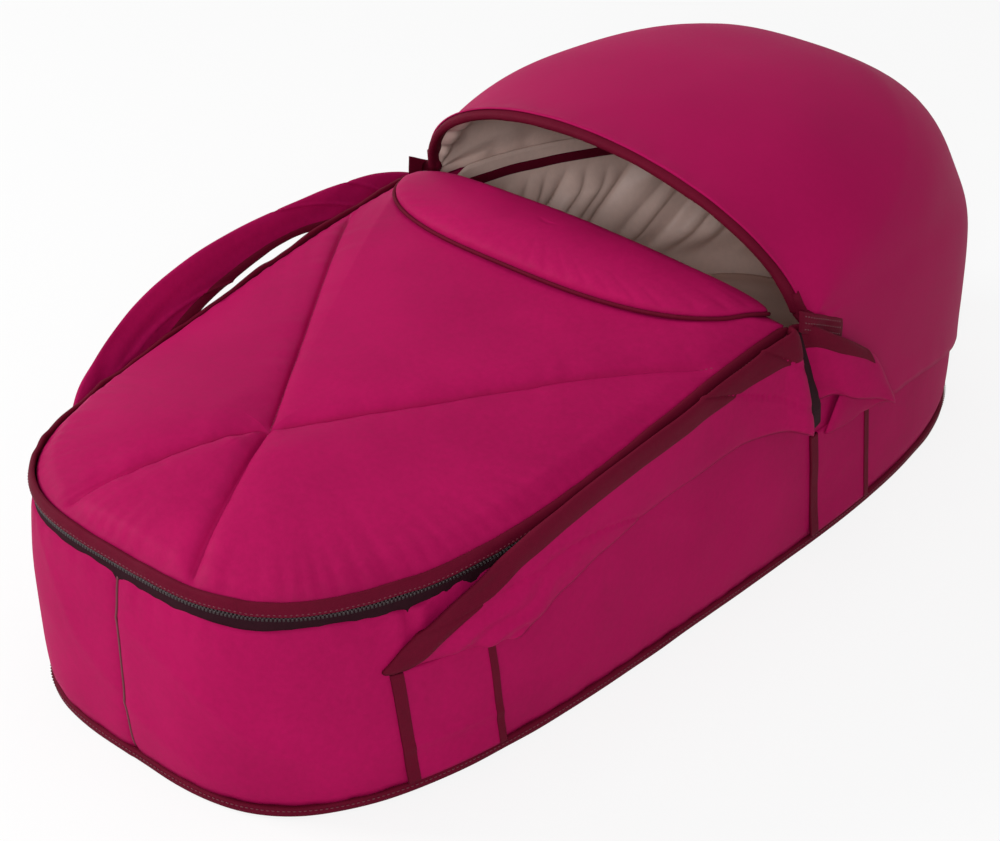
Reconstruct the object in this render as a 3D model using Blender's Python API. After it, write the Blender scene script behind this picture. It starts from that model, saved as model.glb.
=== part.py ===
"""Soft carrycot: padded tub, zipped quilted cover with a flap, folding hood and two carrying straps.

Metres, +Z up, foot end towards -Y, head end towards +Y, origin under the middle of the base.
"""

import bisect
import math

import bmesh
import bpy
from mathutils import Matrix, Vector

# Driving sizes of the tub
BODY_LENGTH = 0.800
BODY_WIDTH = 0.360
FOOT_ROUND = 3.5
HEAD_ROUND = 3.2
FOOT_RIM = 0.149
PIVOT_RIM = 0.190
HEAD_RIM = 0.154
RISE_START_SHARE = 0.375
PIVOT_SHARE = 0.090
RISE_START_Y = -BODY_LENGTH * RISE_START_SHARE
PIVOT_Y = BODY_LENGTH * PIVOT_SHARE
PIVOT_Z = 0.199

# Layers of the tub's wall and floor
FIT_GAP = 0.0003
WALL_FABRIC = 0.0015
WALL_BULGE = 0.0015
FOAM_THICK = 0.0065
LINING_FABRIC = 0.0010
BASE_FABRIC = 0.0015
BOARD_THICK = 0.0030
PIPING_RADIUS = 0.0040
PIPING_INSET = 0.0030
FOAM_DROP = 0.0030
LINING_DROP = 0.0012
RUCHE_DEPTH = 0.0045
RUCHE_LENGTH = 0.0420
MATTRESS_THICK = 0.0240
MATTRESS_CROWN = 0.0060
MATTRESS_GAP = 0.0010
MATTRESS_EDGE = 0.0060
MATTRESS_ROLL_SHARE = 0.85

# Zip between tub and cover
SEAM_NEAR = 0.0005
ZIP_TAPE = 0.0012
ZIP_TOOTH = 0.0008
ZIP_TOOTH_HEIGHT = 0.0020
ZIP_DEPTH = 0.0020
SLIDER_LENGTH = 0.0140
SLIDER_PLATE = 0.0014
SLIDER_HEIGHT = 0.0100
SLIDER_NECK = 0.0024
SLIDER_STANDOFF = 0.0014
SLIDER_START_Y = -0.020
SLIDER_TRAVEL = 0.100
PULL_LENGTH = 0.0240
PULL_WIDTH = 0.0070
PULL_THICK = 0.0010
PULL_BEVEL = 0.0004

# Quilted cover
BINDING_RADIUS = 0.0030
BINDING_INSET = 0.0022
COVER_LIFT = 0.0100
COVER_EDGE_THICK = 0.0044
COVER_THICK = 0.0110
COVER_CROWN = 0.0300
COVER_HEAD_ARCH = 0.0090
COVER_HEAD_SHARE = 0.062
COVER_HEAD_Y = BODY_LENGTH * COVER_HEAD_SHARE
ZIP_END_GAP = 0.0070
ZIP_END_Y = COVER_HEAD_Y - ZIP_END_GAP
HEAD_ARCH_RUN = 0.180
QUILT_CENTRE_SHARE = 0.334
QUILT_SEAM_SHARE = 0.021
QUILT_CENTRE_Y = -BODY_LENGTH * QUILT_CENTRE_SHARE
QUILT_HEAD_SEAM_Y = -BODY_LENGTH * QUILT_SEAM_SHARE
QUILT_FOOT_SEAM_X = 0.062
QUILT_PILLOW = 0.0050
QUILT_CHANNEL = 0.0030
QUILT_CHANNEL_HALF = 0.0070
COVER_LINING = 0.0008
COVER_LINING_GAP = 0.0014
COVER_LINING_SHARE = 0.97

# Turn-down flap at the cover's head edge
FLAP_SIDE_INSET = 0.016
FLAP_HALF_WIDTH = BODY_WIDTH / 2 - FLAP_SIDE_INSET
FLAP_DEPTH = 0.094
FLAP_ROUND = 2.5
FLAP_THICK = 0.0120
FLAP_EDGE_THICK = 0.0040
FLAP_SEAT = 0.0012
FLAP_PIPING_RADIUS = 0.0016

# Hood
HOOD_TOP = 0.3075
HOOD_EQUATOR = 0.1665
HOOD_SETBACK = 0.004
HOOD_OUTSET = 0.0032
HOOD_BACK = BODY_LENGTH / 2 - HOOD_SETBACK - PIVOT_Y
HOOD_HALF_WIDTH = BODY_WIDTH / 2 + HOOD_OUTSET
HOOD_PROFILE = 2.8
HOOD_FOOT_ROUND = 2.3
REACH_HALVINGS = 40
BOW_TILT = math.radians(19.3)
FRONT_END = math.radians(70)
MIDDLE_START = math.radians(74)
MIDDLE_END = math.radians(36)
REAR_START = math.radians(40)
HOOD_FABRIC = 0.0012
HOOD_LINING = 0.0008
HOOD_CLEARANCE = 0.0010
BOW_RADIUS = 0.0025
BOW_BORE_GAP = 0.0003
BOW_BEND = 0.0060
HOOP_BINDING = 0.0022
EYE_RADIUS = 0.0180
SKIRT_GAP = 0.0022
HEM_PIVOT = 0.189
HEM_SIDE = 0.086
HEM_HEAD = 0.052
HEM_DROP_RUN = 0.120
SETTLE_LIFT = 0.0020
FALL_SHARES = (0.5, 1.0, 1.5, 2.0)
LINING_FALL_SHARES = (0.5, 1.0)
RIM_ROLL_RADIUS = 0.0024
RIM_ROLL_INSET = 0.0068

# Pockets that carry the hood's bow
POCKET_HALF = 0.0140
POCKET_THICK = 0.0050
POCKET_BOTTOM = 0.1500
POCKET_BORE_DEPTH = 0.0038

# Carrying straps and the bands that hold them
STRAP_THICK = 0.0040
STRAP_EDGE_SHARE = 0.6
STRAP_HALF = 0.0230
STRAP_RIGHT_PEAK = 0.177
STRAP_LEFT_PEAK = 0.188
STRAP_PEAK_SHARE = 0.040
STRAP_FOOT_SHARE = 0.351
STRAP_HEAD_SHARE = 0.149
STRAP_PEAK_Y = BODY_LENGTH * STRAP_PEAK_SHARE
STRAP_FOOT_Y = -BODY_LENGTH * STRAP_FOOT_SHARE
STRAP_HEAD_Y = BODY_LENGTH * STRAP_HEAD_SHARE
STRAP_STANDOFF = 0.0064
STRAP_FOOT_POWER = 2.2
STRAP_HEAD_ROUND = 2.4
STRAP_SLANT_SHARE = 0.14
STRAP_LEFT_LEAN = math.radians(8)
BAND_TOP = 0.100
BAND_HALF = 0.0370
BAND_THICK = 0.0020
BAND_LEAN = 0.0120
BAND_BOTTOM = 0.0100

# How finely curves are cut
OUTLINE_STEPS = 1440
SIDE_STEP = 0.0300
WALL_ROWS = 3
RUCHE_PARTS = 4
ARCH_STEPS = 24
ROUND_SIDES = 6
STRAP_STEPS = 30
BAND_COLUMNS = 6
BAND_ROWS = 3

CRIMSON = (0.36, 0.010, 0.095, 1.0)
DARK_RED = (0.17, 0.008, 0.030, 1.0)
BEIGE = (0.36, 0.255, 0.215, 1.0)
ZIP_DARK = (0.020, 0.005, 0.008, 1.0)
STEEL = (0.55, 0.54, 0.53, 1.0)
FOAM_WHITE = (0.80, 0.78, 0.74, 1.0)
BOARD_GREY = (0.32, 0.29, 0.26, 1.0)

for old in list(bpy.data.objects):
    bpy.data.objects.remove(old, do_unlink=True)


def smooth(share):
    """Zero below 0, one above 1, and an even ease between."""
    share = min(max(share, 0.0), 1.0)
    return share * share * (3.0 - 2.0 * share)


def between(a, b, share):
    return a + (b - a) * share


def power(value, exponent):
    return math.copysign(abs(value) ** exponent, value)


def material(name, colour, roughness, metallic=0.0):
    made = bpy.data.materials.new(name)
    made.use_nodes = True
    shader = made.node_tree.nodes["Principled BSDF"]
    shader.inputs["Base Color"].default_value = colour
    shader.inputs["Roughness"].default_value = roughness
    shader.inputs["Metallic"].default_value = metallic
    made.diffuse_color = colour
    return made


def finish(name, bm, colour, roughness, metallic=0.0, pivot=None):
    """Turns the bmesh into a named object whose origin is its pivot."""
    bmesh.ops.recalc_face_normals(bm, faces=bm.faces[:])
    pivot = Vector((0, 0, 0)) if pivot is None else Vector(pivot)
    bmesh.ops.translate(bm, verts=bm.verts[:], vec=-pivot)
    mesh = bpy.data.meshes.new(name)
    bm.to_mesh(mesh)
    bm.free()
    obj = bpy.data.objects.new(name, mesh)
    obj.location = pivot
    bpy.context.scene.collection.objects.link(obj)
    mesh.materials.append(material(name + "_finish", colour, roughness, metallic))
    return obj


def loft(bm, rings, closed_ring=True, closed_path=False, cap_ends=True):
    """Skins a row of point rings with quads and caps its two ends."""
    rows = [[bm.verts.new(p) for p in ring] for ring in rings]
    count = len(rows[0])
    last = len(rows) if closed_path else len(rows) - 1
    for i in range(last):
        a, b = rows[i], rows[(i + 1) % len(rows)]
        for j in range(count if closed_ring else count - 1):
            k = (j + 1) % count
            bm.faces.new((a[j], a[k], b[k], b[j]))
    if cap_ends and not closed_path:
        bm.faces.new(rows[0])
        bm.faces.new(list(reversed(rows[-1])))
    return rows


def outline_raw(turn):
    """Point and outward normal of the tub's plan outline."""
    c, s = math.sin(turn), -math.cos(turn)
    n = FOOT_ROUND if s < 0 else HEAD_ROUND
    half, long_half = BODY_WIDTH / 2, BODY_LENGTH / 2
    x = half * power(c, 2 / n)
    y = long_half * power(s, 2 / n)
    nx = power(x / half, n - 1) / half
    ny = power(y / long_half, n - 1) / long_half
    return Vector((x, y)), Vector((nx, ny)).normalized()


OUTLINE = [
    outline_raw(2 * math.pi * i / OUTLINE_STEPS) for i in range(OUTLINE_STEPS + 1)
]
OUTLINE_RUN = [0.0]
for first, second in zip(OUTLINE, OUTLINE[1:]):
    OUTLINE_RUN.append(OUTLINE_RUN[-1] + (second[0] - first[0]).length)
OUTLINE_TOTAL = OUTLINE_RUN[-1]


def station(run):
    """Point and normal at a distance along the outline from the foot's middle."""
    run = run % OUTLINE_TOTAL
    i = min(max(bisect.bisect_right(OUTLINE_RUN, run) - 1, 0), OUTLINE_STEPS - 1)
    step = OUTLINE_RUN[i + 1] - OUTLINE_RUN[i]
    share = (run - OUTLINE_RUN[i]) / step if step else 0.0
    point = OUTLINE[i][0].lerp(OUTLINE[i + 1][0], share)
    normal = OUTLINE[i][1].lerp(OUTLINE[i + 1][1], share).normalized()
    return point, normal


def run_at(y):
    """Distance from the foot's middle to where the +X side reaches y."""
    for i in range(OUTLINE_STEPS // 2):
        a, b = OUTLINE[i][0].y, OUTLINE[i + 1][0].y
        if a <= y <= b and b > a:
            return between(OUTLINE_RUN[i], OUTLINE_RUN[i + 1], (y - a) / (b - a))
    return OUTLINE_TOTAL / 2 if y > 0 else 0.0


def side_x(y):
    """Half width of the tub at y."""
    return station(run_at(y))[0].x


def foot_run_at(x):
    """Distance from the foot's middle to where the +X side of the foot curve reaches x."""
    for i in range(OUTLINE_STEPS // 4):
        a, b = OUTLINE[i][0].x, OUTLINE[i + 1][0].x
        if a <= x < b:
            return between(OUTLINE_RUN[i], OUTLINE_RUN[i + 1], (x - a) / (b - a))
    return OUTLINE_TOTAL / 4


SEAM_RUNS = [foot_run_at(QUILT_FOOT_SEAM_X), run_at(QUILT_HEAD_SEAM_Y)]


def half_runs():
    """Where every layer of the wall has its points, so that facets of one layer match the next."""
    half = OUTLINE_TOTAL / 2
    marks = [0, half, run_at(COVER_HEAD_Y), run_at(PIVOT_Y + EYE_RADIUS)]
    for s in SEAM_RUNS:
        marks += [s - QUILT_CHANNEL_HALF, s, s + QUILT_CHANNEL_HALF]
    head = run_at(PIVOT_Y + EYE_RADIUS)
    coarse = round(head / SIDE_STEP)
    fine = RUCHE_PARTS * round((half - head) / RUCHE_LENGTH)
    steps = [head * i / coarse for i in range(coarse)]
    steps += [between(head, half, i / fine) for i in range(fine + 1)]
    near = QUILT_CHANNEL_HALF
    return sorted(
        marks + [r for r in steps if all(abs(r - m) > near for m in marks)]
    )


HALF_RUNS = half_runs()
ALL_RUNS = HALF_RUNS + [OUTLINE_TOTAL - r for r in reversed(HALF_RUNS[1:-1])]


def ring_stations():
    return [station(run) for run in ALL_RUNS]


def stations(start, end):
    """The common stations from start to end, with these two as its ends."""
    runs = ALL_RUNS if start >= 0 else [-r for r in HALF_RUNS[:0:-1]] + HALF_RUNS
    inner = [r for r in runs if start + SEAM_NEAR < r < end - SEAM_NEAR]
    return [station(run) for run in [start] + inner + [end]]


def rim_height(y):
    """Top of the tub's wall: level round the foot, up to the hood's pivots, down to the head."""
    if y < PIVOT_Y:
        rise = smooth((y - RISE_START_Y) / (PIVOT_Y - RISE_START_Y))
        return between(FOOT_RIM, PIVOT_RIM, rise)
    fall = smooth((y - PIVOT_Y) / (BODY_LENGTH / 2 - PIVOT_Y))
    return between(PIVOT_RIM, HEAD_RIM, fall)


def place(where, inset, z):
    """Point drawn in by inset from a station of the outline."""
    point, normal = where
    flat = point - normal * inset
    return Vector((flat.x, flat.y, z))


def sweep(name, where, section, colour, roughness, closed=False, pivot=None):
    """Solid whose section, a closed list of (inset, z), runs along stations."""
    bm = bmesh.new()
    rings = [[place(w, inset, z) for inset, z in section(w)] for w in where]
    loft(bm, rings, closed_path=closed)
    return finish(name, bm, colour, roughness, pivot=pivot)


def circle_section(inset, height, radius, sides):
    """Section of a round cord: height gives its centre at a station."""

    def section(where):
        z = height(where[0].y)
        turn = 2 * math.pi / sides
        return [
            (inset + radius * math.cos(turn * k), z + radius * math.sin(turn * k))
            for k in range(sides)
        ]

    return section


def plate(name, inset, low, thick, colour, roughness):
    """Flat sheet of the outline's shape."""
    bm = bmesh.new()
    ring = [place(w, inset, low) for w in ring_stations()]
    face = bm.faces.new([bm.verts.new(p) for p in ring])
    made = bmesh.ops.extrude_face_region(bm, geom=[face])
    top = [v for v in made["geom"] if isinstance(v, bmesh.types.BMVert)]
    bmesh.ops.translate(bm, verts=top, vec=Vector((0, 0, thick)))
    return finish(name, bm, colour, roughness)


# Floor: outer fabric, stiff board and edge piping
board_low = BASE_FABRIC + FIT_GAP
floor_low = board_low + BOARD_THICK + FIT_GAP
floor_top = floor_low + LINING_FABRIC
wall_low = FIT_GAP + 2 * PIPING_RADIUS + FIT_GAP
tape_inset = WALL_FABRIC + FIT_GAP
foam_inset = tape_inset + ZIP_TAPE + FIT_GAP
lining_inset = foam_inset + FOAM_THICK + FIT_GAP
lining_inner = lining_inset + LINING_FABRIC

plate(
    "base_panel",
    PIPING_INSET + PIPING_RADIUS + FIT_GAP,
    0,
    BASE_FABRIC,
    CRIMSON,
    0.85,
)
plate("base_board", lining_inset, board_low, BOARD_THICK, BOARD_GREY, 0.8)
sweep(
    "base_piping",
    ring_stations(),
    circle_section(
        PIPING_INSET, lambda y: FIT_GAP + PIPING_RADIUS, PIPING_RADIUS, ROUND_SIDES
    ),
    DARK_RED,
    0.8,
    closed=True,
)


# Outer wall in two panels that meet in seams at the foot and the head
def wall_section(where):
    top = rim_height(where[0].y)
    outer = [
        (
            -WALL_BULGE * math.sin(math.pi * i / WALL_ROWS),
            between(wall_low, top, i / WALL_ROWS),
        )
        for i in range(WALL_ROWS + 1)
    ]
    return outer + [(WALL_FABRIC, top), (WALL_FABRIC, wall_low)]


for name, start, end in (
    ("wall_panel_right", 0, OUTLINE_TOTAL / 2),
    ("wall_panel_left", OUTLINE_TOTAL / 2, OUTLINE_TOTAL),
):
    sweep(
        name,
        stations(start + FIT_GAP / 2, end - FIT_GAP / 2),
        wall_section,
        CRIMSON,
        0.75,
    )


# Foam that stiffens the wall
def foam_section(where):
    top = rim_height(where[0].y) - FOAM_DROP
    return [
        (foam_inset, wall_low),
        (foam_inset, top),
        (foam_inset + FOAM_THICK, top),
        (foam_inset + FOAM_THICK, wall_low),
    ]


sweep(
    "wall_foam",
    ring_stations(),
    foam_section,
    FOAM_WHITE,
    0.95,
    closed=True,
)


# Gathered lining: a tub of thin cloth whose head end is ruched into upright folds
def ruche(run, y):
    head = run_at(PIVOT_Y + EYE_RADIUS)
    folds = round((OUTLINE_TOTAL / 2 - head) / RUCHE_LENGTH)
    through = (min(run, OUTLINE_TOTAL - run) - head) / (OUTLINE_TOTAL / 2 - head)
    wave = 0.5 - 0.5 * math.cos(2 * math.pi * folds * max(through, 0))
    return RUCHE_DEPTH * smooth(through * 4) * wave


def make_lining():
    bm = bmesh.new()
    columns = []
    row_shares = (0.0, 0.35, 0.75, 1.0)
    fold_shares = (0.0, 0.8, 1.0, 0.5)
    for run in ALL_RUNS:
        where = station(run)
        fold = ruche(run, where[0].y)
        top = rim_height(where[0].y) - LINING_DROP
        outer = [
            place(where, lining_inset + fold * f, between(floor_low, top, s))
            for s, f in zip(row_shares, fold_shares)
        ]
        inner = [
            place(where, lining_inner + fold * f, between(floor_top, top, s))
            for s, f in zip(row_shares, fold_shares)
        ]
        columns.append(outer + list(reversed(inner)))
    rows = loft(bm, columns, closed_ring=False, closed_path=True)
    bm.faces.new([row[0] for row in rows])
    bm.faces.new([row[-1] for row in reversed(rows)])
    return finish("tub_lining", bm, BEIGE, 0.55)


make_lining()


def pad(bm, edge, centre, top, bottom, top_shares, bottom_shares):
    """Cushion over a star-shaped outline, ringed about its centre, with top and bottom heights."""

    def ring(share, height):
        made = []
        for p in edge:
            q = centre.lerp(p, share)
            made.append(bm.verts.new((q.x, q.y, height(q.x, q.y, share))))
        return made

    uppers = [ring(s, top) for s in top_shares]
    lowers = [ring(s, bottom) for s in bottom_shares]
    count = len(edge)
    chain = list(reversed(uppers)) + lowers
    for a, b in zip(chain, chain[1:]):
        for j in range(count):
            k = (j + 1) % count
            bm.faces.new((a[j], b[j], b[k], a[k]))
    up = bm.verts.new((centre.x, centre.y, top(centre.x, centre.y, 0.0)))
    down = bm.verts.new((centre.x, centre.y, bottom(centre.x, centre.y, 0.0)))
    for j in range(count):
        k = (j + 1) % count
        bm.faces.new((uppers[-1][j], uppers[-1][k], up))
        bm.faces.new((lowers[-1][k], lowers[-1][j], down))


# Mattress on the lining's floor
def make_mattress():
    bm = bmesh.new()
    inset = lining_inner + RUCHE_DEPTH + MATTRESS_GAP
    edge = [
        place(w, inset, 0).to_2d()
        for w in ring_stations()[::2]
    ]
    low = floor_top + FIT_GAP

    def top(x, y, share):
        rolled = (share - MATTRESS_ROLL_SHARE) / (1 - MATTRESS_ROLL_SHARE)
        edge_drop = MATTRESS_EDGE * smooth(rolled)
        return low + MATTRESS_THICK + MATTRESS_CROWN * (1 - share * share) - edge_drop

    pad(
        bm,
        edge,
        Vector((0, 0)),
        top,
        lambda x, y, share: low + (MATTRESS_EDGE if share == 1.0 else 0),
        (1.0, 0.96, MATTRESS_ROLL_SHARE, 0.5),
        (1.0, 0.97, 0.5),
    )
    return finish("mattress", bm, FOAM_WHITE, 0.9)


make_mattress()

# Zip: the tub's tape and teeth, and the cover's
zip_start = -run_at(ZIP_END_Y)
zip_end = run_at(ZIP_END_Y)
binding_low = COVER_LIFT - BINDING_RADIUS
cover_pivot = (
    0,
    COVER_HEAD_Y + BINDING_RADIUS,
    rim_height(COVER_HEAD_Y) + COVER_LIFT,
)


def zip_section(low, mouth, high):
    """Tape with a tooth row on the side that meets its partner, heights above the rim."""

    def section(where):
        rim = rim_height(where[0].y)
        sign = 1 if mouth == high else -1
        tooth = mouth - sign * ZIP_TOOTH_HEIGHT
        far = low if mouth == high else high
        return [
            (tape_inset, rim + far),
            (tape_inset, rim + tooth),
            (tape_inset - ZIP_TOOTH, rim + tooth),
            (tape_inset - ZIP_TOOTH, rim + mouth),
            (tape_inset + ZIP_TAPE, rim + mouth),
            (tape_inset + ZIP_TAPE, rim + far),
        ]

    return section


zip_meet = (binding_low + ZIP_TOOTH) / 2
sweep(
    "zip_tub",
    stations(zip_start, zip_end),
    zip_section(-ZIP_DEPTH, zip_meet - FIT_GAP / 2, zip_meet - FIT_GAP / 2),
    ZIP_DARK,
    0.6,
)
sweep(
    "zip_cover",
    stations(zip_start, zip_end),
    zip_section(zip_meet + FIT_GAP / 2, zip_meet + FIT_GAP / 2, binding_low - FIT_GAP),
    ZIP_DARK,
    0.6,
    pivot=cover_pivot,
)

# Zip slider on the -X side, and its pull
slider_x = side_x(SLIDER_START_Y)
slider_z = rim_height(SLIDER_START_Y) + zip_meet
slider_end_z = rim_height(SLIDER_START_Y - SLIDER_TRAVEL) + zip_meet
slider_tilt = math.atan2(slider_z - slider_end_z, SLIDER_TRAVEL)


def box(bm, low, high):
    made = bmesh.ops.create_cube(bm, size=1)["verts"]
    low, high = Vector(low), Vector(high)
    for v in made:
        v.co = Vector(between(low[i], high[i], v.co[i] + 0.5) for i in range(3))
    return made


def make_slider():
    plate_in = slider_x + SLIDER_STANDOFF
    plate_out = plate_in + SLIDER_PLATE
    neck_in = slider_x - tape_inset + ZIP_TOOTH + FIT_GAP
    half, tall = SLIDER_LENGTH / 2, SLIDER_HEIGHT / 2
    profile = [
        (-half, -tall / 2),
        (-half / 2, -tall),
        (half / 2, -tall),
        (half, -tall / 2),
        (half, tall / 2),
        (half / 2, tall),
        (-half / 2, tall),
        (-half, tall / 2),
    ]
    bm = bmesh.new()
    loft(
        bm,
        [
            [(-x, y, z) for y, z in profile]
            for x in (plate_in, plate_in + SLIDER_PLATE)
        ],
    )
    body = finish("zip_slider", bm, STEEL, 0.35, 1.0)
    neck = bmesh.new()
    box(
        neck,
        (-plate_in - SLIDER_PLATE / 2, -half / 2, -SLIDER_NECK / 2),
        (-neck_in, half / 2, SLIDER_NECK / 2),
    )
    cutter = finish("slider_neck", neck, STEEL, 0.35, 1.0)
    cutter.hide_render = True
    cutter.display_type = "WIRE"
    join = body.modifiers.new("neck", "BOOLEAN")
    join.operation = "UNION"
    join.object = cutter
    for obj in (body, cutter):
        obj.location = (0, SLIDER_START_Y, slider_z)
        obj.rotation_euler = (slider_tilt, 0, 0)
    pull = bmesh.new()
    pull_in = plate_out + FIT_GAP
    made = box(
        pull,
        (-pull_in - PULL_THICK, -PULL_WIDTH / 2, tall / 2 - PULL_LENGTH),
        (-pull_in, PULL_WIDTH / 2, tall / 2),
    )
    bmesh.ops.bevel(
        pull,
        geom=list({e for v in made for e in v.link_edges}),
        offset=PULL_BEVEL,
        segments=1,
        affect="EDGES",
    )
    tag = finish("zip_pull", pull, STEEL, 0.35, 1.0)
    tag.location = body.location
    tag.rotation_euler = body.rotation_euler


make_slider()

# Quilted cover over the foot half
cover_inset = BINDING_INSET + BINDING_RADIUS + FIT_GAP
quilt_centre = Vector((0, QUILT_CENTRE_Y))
cover_edge_low = COVER_LIFT - COVER_EDGE_THICK / 2


def cover_edge():
    """Plan outline of the cover: foot curve, then the straight head edge, with a point on each seam."""
    end = run_at(COVER_HEAD_Y)
    head_half = side_x(COVER_HEAD_Y) - cover_inset
    points = [place(w, cover_inset, 0).to_2d() for w in stations(-end, end)]
    head_steps = 10
    for i in range(1, head_steps):
        share = i / head_steps
        points.append(Vector((between(head_half, -head_half, share), COVER_HEAD_Y)))
    return points


COVER_EDGE = cover_edge()
EDGE_BY_TURN = sorted(
    (math.atan2((p - quilt_centre).y, (p - quilt_centre).x), (p - quilt_centre).length)
    for p in COVER_EDGE
)
EDGE_TURNS = [turn for turn, _ in EDGE_BY_TURN]
SEAM_TURNS = sorted(
    math.atan2((p - quilt_centre).y, (p - quilt_centre).x)
    for run in SEAM_RUNS
    for p in (
        place(station(run), cover_inset, 0).to_2d(),
        place(station(-run), cover_inset, 0).to_2d(),
    )
)


def edge_reach(turn):
    """Distance from the quilt's centre to the cover's edge in a direction."""
    i = bisect.bisect_right(EDGE_TURNS, turn)
    t0, r0 = EDGE_BY_TURN[i - 1]
    t1, r1 = EDGE_BY_TURN[i % len(EDGE_BY_TURN)]
    if t1 <= t0:
        t1 += 2 * math.pi
        if turn < t0:
            turn += 2 * math.pi
    share = (turn - t0) / (t1 - t0)
    ax, ay = r0 * math.cos(t0), r0 * math.sin(t0)
    bx, by = r1 * math.cos(t1), r1 * math.sin(t1)
    dx, dy = bx - ax, by - ay
    across = math.cos(turn) * dy - math.sin(turn) * dx
    return (ax * dy - ay * dx) / across if across else between(r0, r1, share)


def seam_share(turn):
    """How far a direction lies through its quilted panel, from 0 to 1, and the angle to the nearest seam."""
    i = bisect.bisect_right(SEAM_TURNS, turn)
    low = SEAM_TURNS[i - 1] - (2 * math.pi if i == 0 else 0)
    high = SEAM_TURNS[i % len(SEAM_TURNS)] + (
        2 * math.pi if i == len(SEAM_TURNS) else 0
    )
    return (turn - low) / (high - low), min(turn - low, high - turn)


def cover_base(x, y):
    """Height of the cover's rim line carried across it, with the head edge's arch."""
    half = side_x(min(y, COVER_HEAD_Y)) - cover_inset
    across = min(abs(x) / half, 1.0) if half > 0 else 1.0
    arch = COVER_HEAD_ARCH * smooth((y - COVER_HEAD_Y) / HEAD_ARCH_RUN + 1)
    return rim_height(y) + COVER_LIFT + arch * (1 - across * across)


def cover_top(x, y, share=None):
    """Height of the cover's upper face, with pillows between the crossed seams."""
    out = Vector((x, y)) - quilt_centre
    turn = math.atan2(out.y, out.x)
    if share is None:
        share = min(out.length / edge_reach(turn), 1.0)
    through, away = seam_share(turn)
    swell = math.sin(math.pi * min(max(through, 0), 1)) ** 0.7
    middle = (1 - share * share) ** 0.8
    groove = max(0.0, 1 - away * out.length / QUILT_CHANNEL_HALF)
    inner = smooth((1 - share) * 12)
    pillow = QUILT_PILLOW * swell * smooth(share * 4) * inner
    return (
        cover_base(x, y)
        + COVER_EDGE_THICK / 2
        + COVER_CROWN * middle
        + pillow
        - QUILT_CHANNEL * groove * inner
    )


def cover_bottom(x, y, share):
    thick = between(COVER_THICK, COVER_EDGE_THICK, share**4)
    return cover_base(x, y) + COVER_EDGE_THICK / 2 + COVER_CROWN * (
        1 - share * share
    ) ** 0.8 - thick


def make_cover():
    bm = bmesh.new()
    pad(
        bm,
        COVER_EDGE,
        quilt_centre,
        cover_top,
        cover_bottom,
        (1.0, 0.97, 0.90, 0.76, 0.55, 0.28, 0.08),
        (1.0, 0.90, 0.62, 0.30),
    )
    finish("cover", bm, CRIMSON, 0.75, pivot=cover_pivot)
    bm = bmesh.new()
    every_other = COVER_EDGE[::2]

    def under(x, y, share):
        return cover_bottom(x, y, share * COVER_LINING_SHARE) - COVER_LINING_GAP

    pad(
        bm,
        [quilt_centre.lerp(p, COVER_LINING_SHARE) for p in every_other],
        quilt_centre,
        under,
        lambda x, y, share: under(x, y, share) - COVER_LINING,
        (1.0, 0.90, 0.62, 0.30),
        (1.0, 0.90, 0.62, 0.30),
    )
    finish("cover_lining", bm, BEIGE, 0.6, pivot=cover_pivot)


make_cover()

# Dark binding round the cover's zipped edge
sweep(
    "cover_binding",
    stations(-run_at(COVER_HEAD_Y), run_at(COVER_HEAD_Y)),
    circle_section(
        BINDING_INSET, lambda y: rim_height(y) + COVER_LIFT, BINDING_RADIUS, ROUND_SIDES
    ),
    DARK_RED,
    0.7,
    pivot=cover_pivot,
)

# Puffed flap, folded down over the cover's head edge, with piping on its free edge
flap_y = COVER_HEAD_Y
flap_pivot = (0, flap_y, cover_top(0, flap_y) - COVER_EDGE_THICK)


def flap_free_edge(inset, count):
    points = []
    for i in range(count + 1):
        turn = math.pi * i / count
        x = -(FLAP_HALF_WIDTH - inset) * power(math.cos(turn), 2 / FLAP_ROUND)
        y = flap_y - (FLAP_DEPTH - inset) * power(math.sin(turn), 2 / FLAP_ROUND)
        points.append(Vector((x, y)))
    return points


def make_flap():
    edge_inset = 2 * FLAP_PIPING_RADIUS + FIT_GAP
    steps = 22
    edge = flap_free_edge(edge_inset, steps)
    head_steps = 8
    half = FLAP_HALF_WIDTH - edge_inset
    for i in range(1, head_steps):
        edge.append(Vector((between(half, -half, i / head_steps), flap_y)))
    centre = Vector((0, flap_y - FLAP_DEPTH / 2))

    def top(x, y, share):
        puff = (FLAP_THICK - FLAP_EDGE_THICK) * (1 - share**3) ** 0.5
        return cover_top(x, y) + FLAP_SEAT + FLAP_EDGE_THICK + puff

    bm = bmesh.new()
    pad(
        bm,
        edge,
        centre,
        top,
        lambda x, y, share: cover_top(x, y) + FLAP_SEAT,
        (1.0, 0.95, 0.82, 0.55),
        (1.0, 0.82, 0.5),
    )
    finish("cover_flap", bm, CRIMSON, 0.75, pivot=flap_pivot)
    line = flap_free_edge(FLAP_PIPING_RADIUS, steps)
    rings = []
    turn = 2 * math.pi / ROUND_SIDES
    for i, p in enumerate(line):
        a, b = line[max(i - 1, 0)], line[min(i + 1, steps)]
        along = (b - a).normalized()
        side = Vector((along.y, -along.x))
        z = cover_top(p.x, p.y) + FLAP_SEAT + FLAP_EDGE_THICK / 2
        rings.append(
            [
                (
                    p.x + side.x * FLAP_PIPING_RADIUS * math.cos(turn * k),
                    p.y + side.y * FLAP_PIPING_RADIUS * math.cos(turn * k),
                    z + FLAP_PIPING_RADIUS * math.sin(turn * k),
                )
                for k in range(ROUND_SIDES)
            ]
        )
    bm = bmesh.new()
    loft(bm, rings)
    finish("flap_piping", bm, DARK_RED, 0.7, pivot=flap_pivot)


make_flap()

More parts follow.
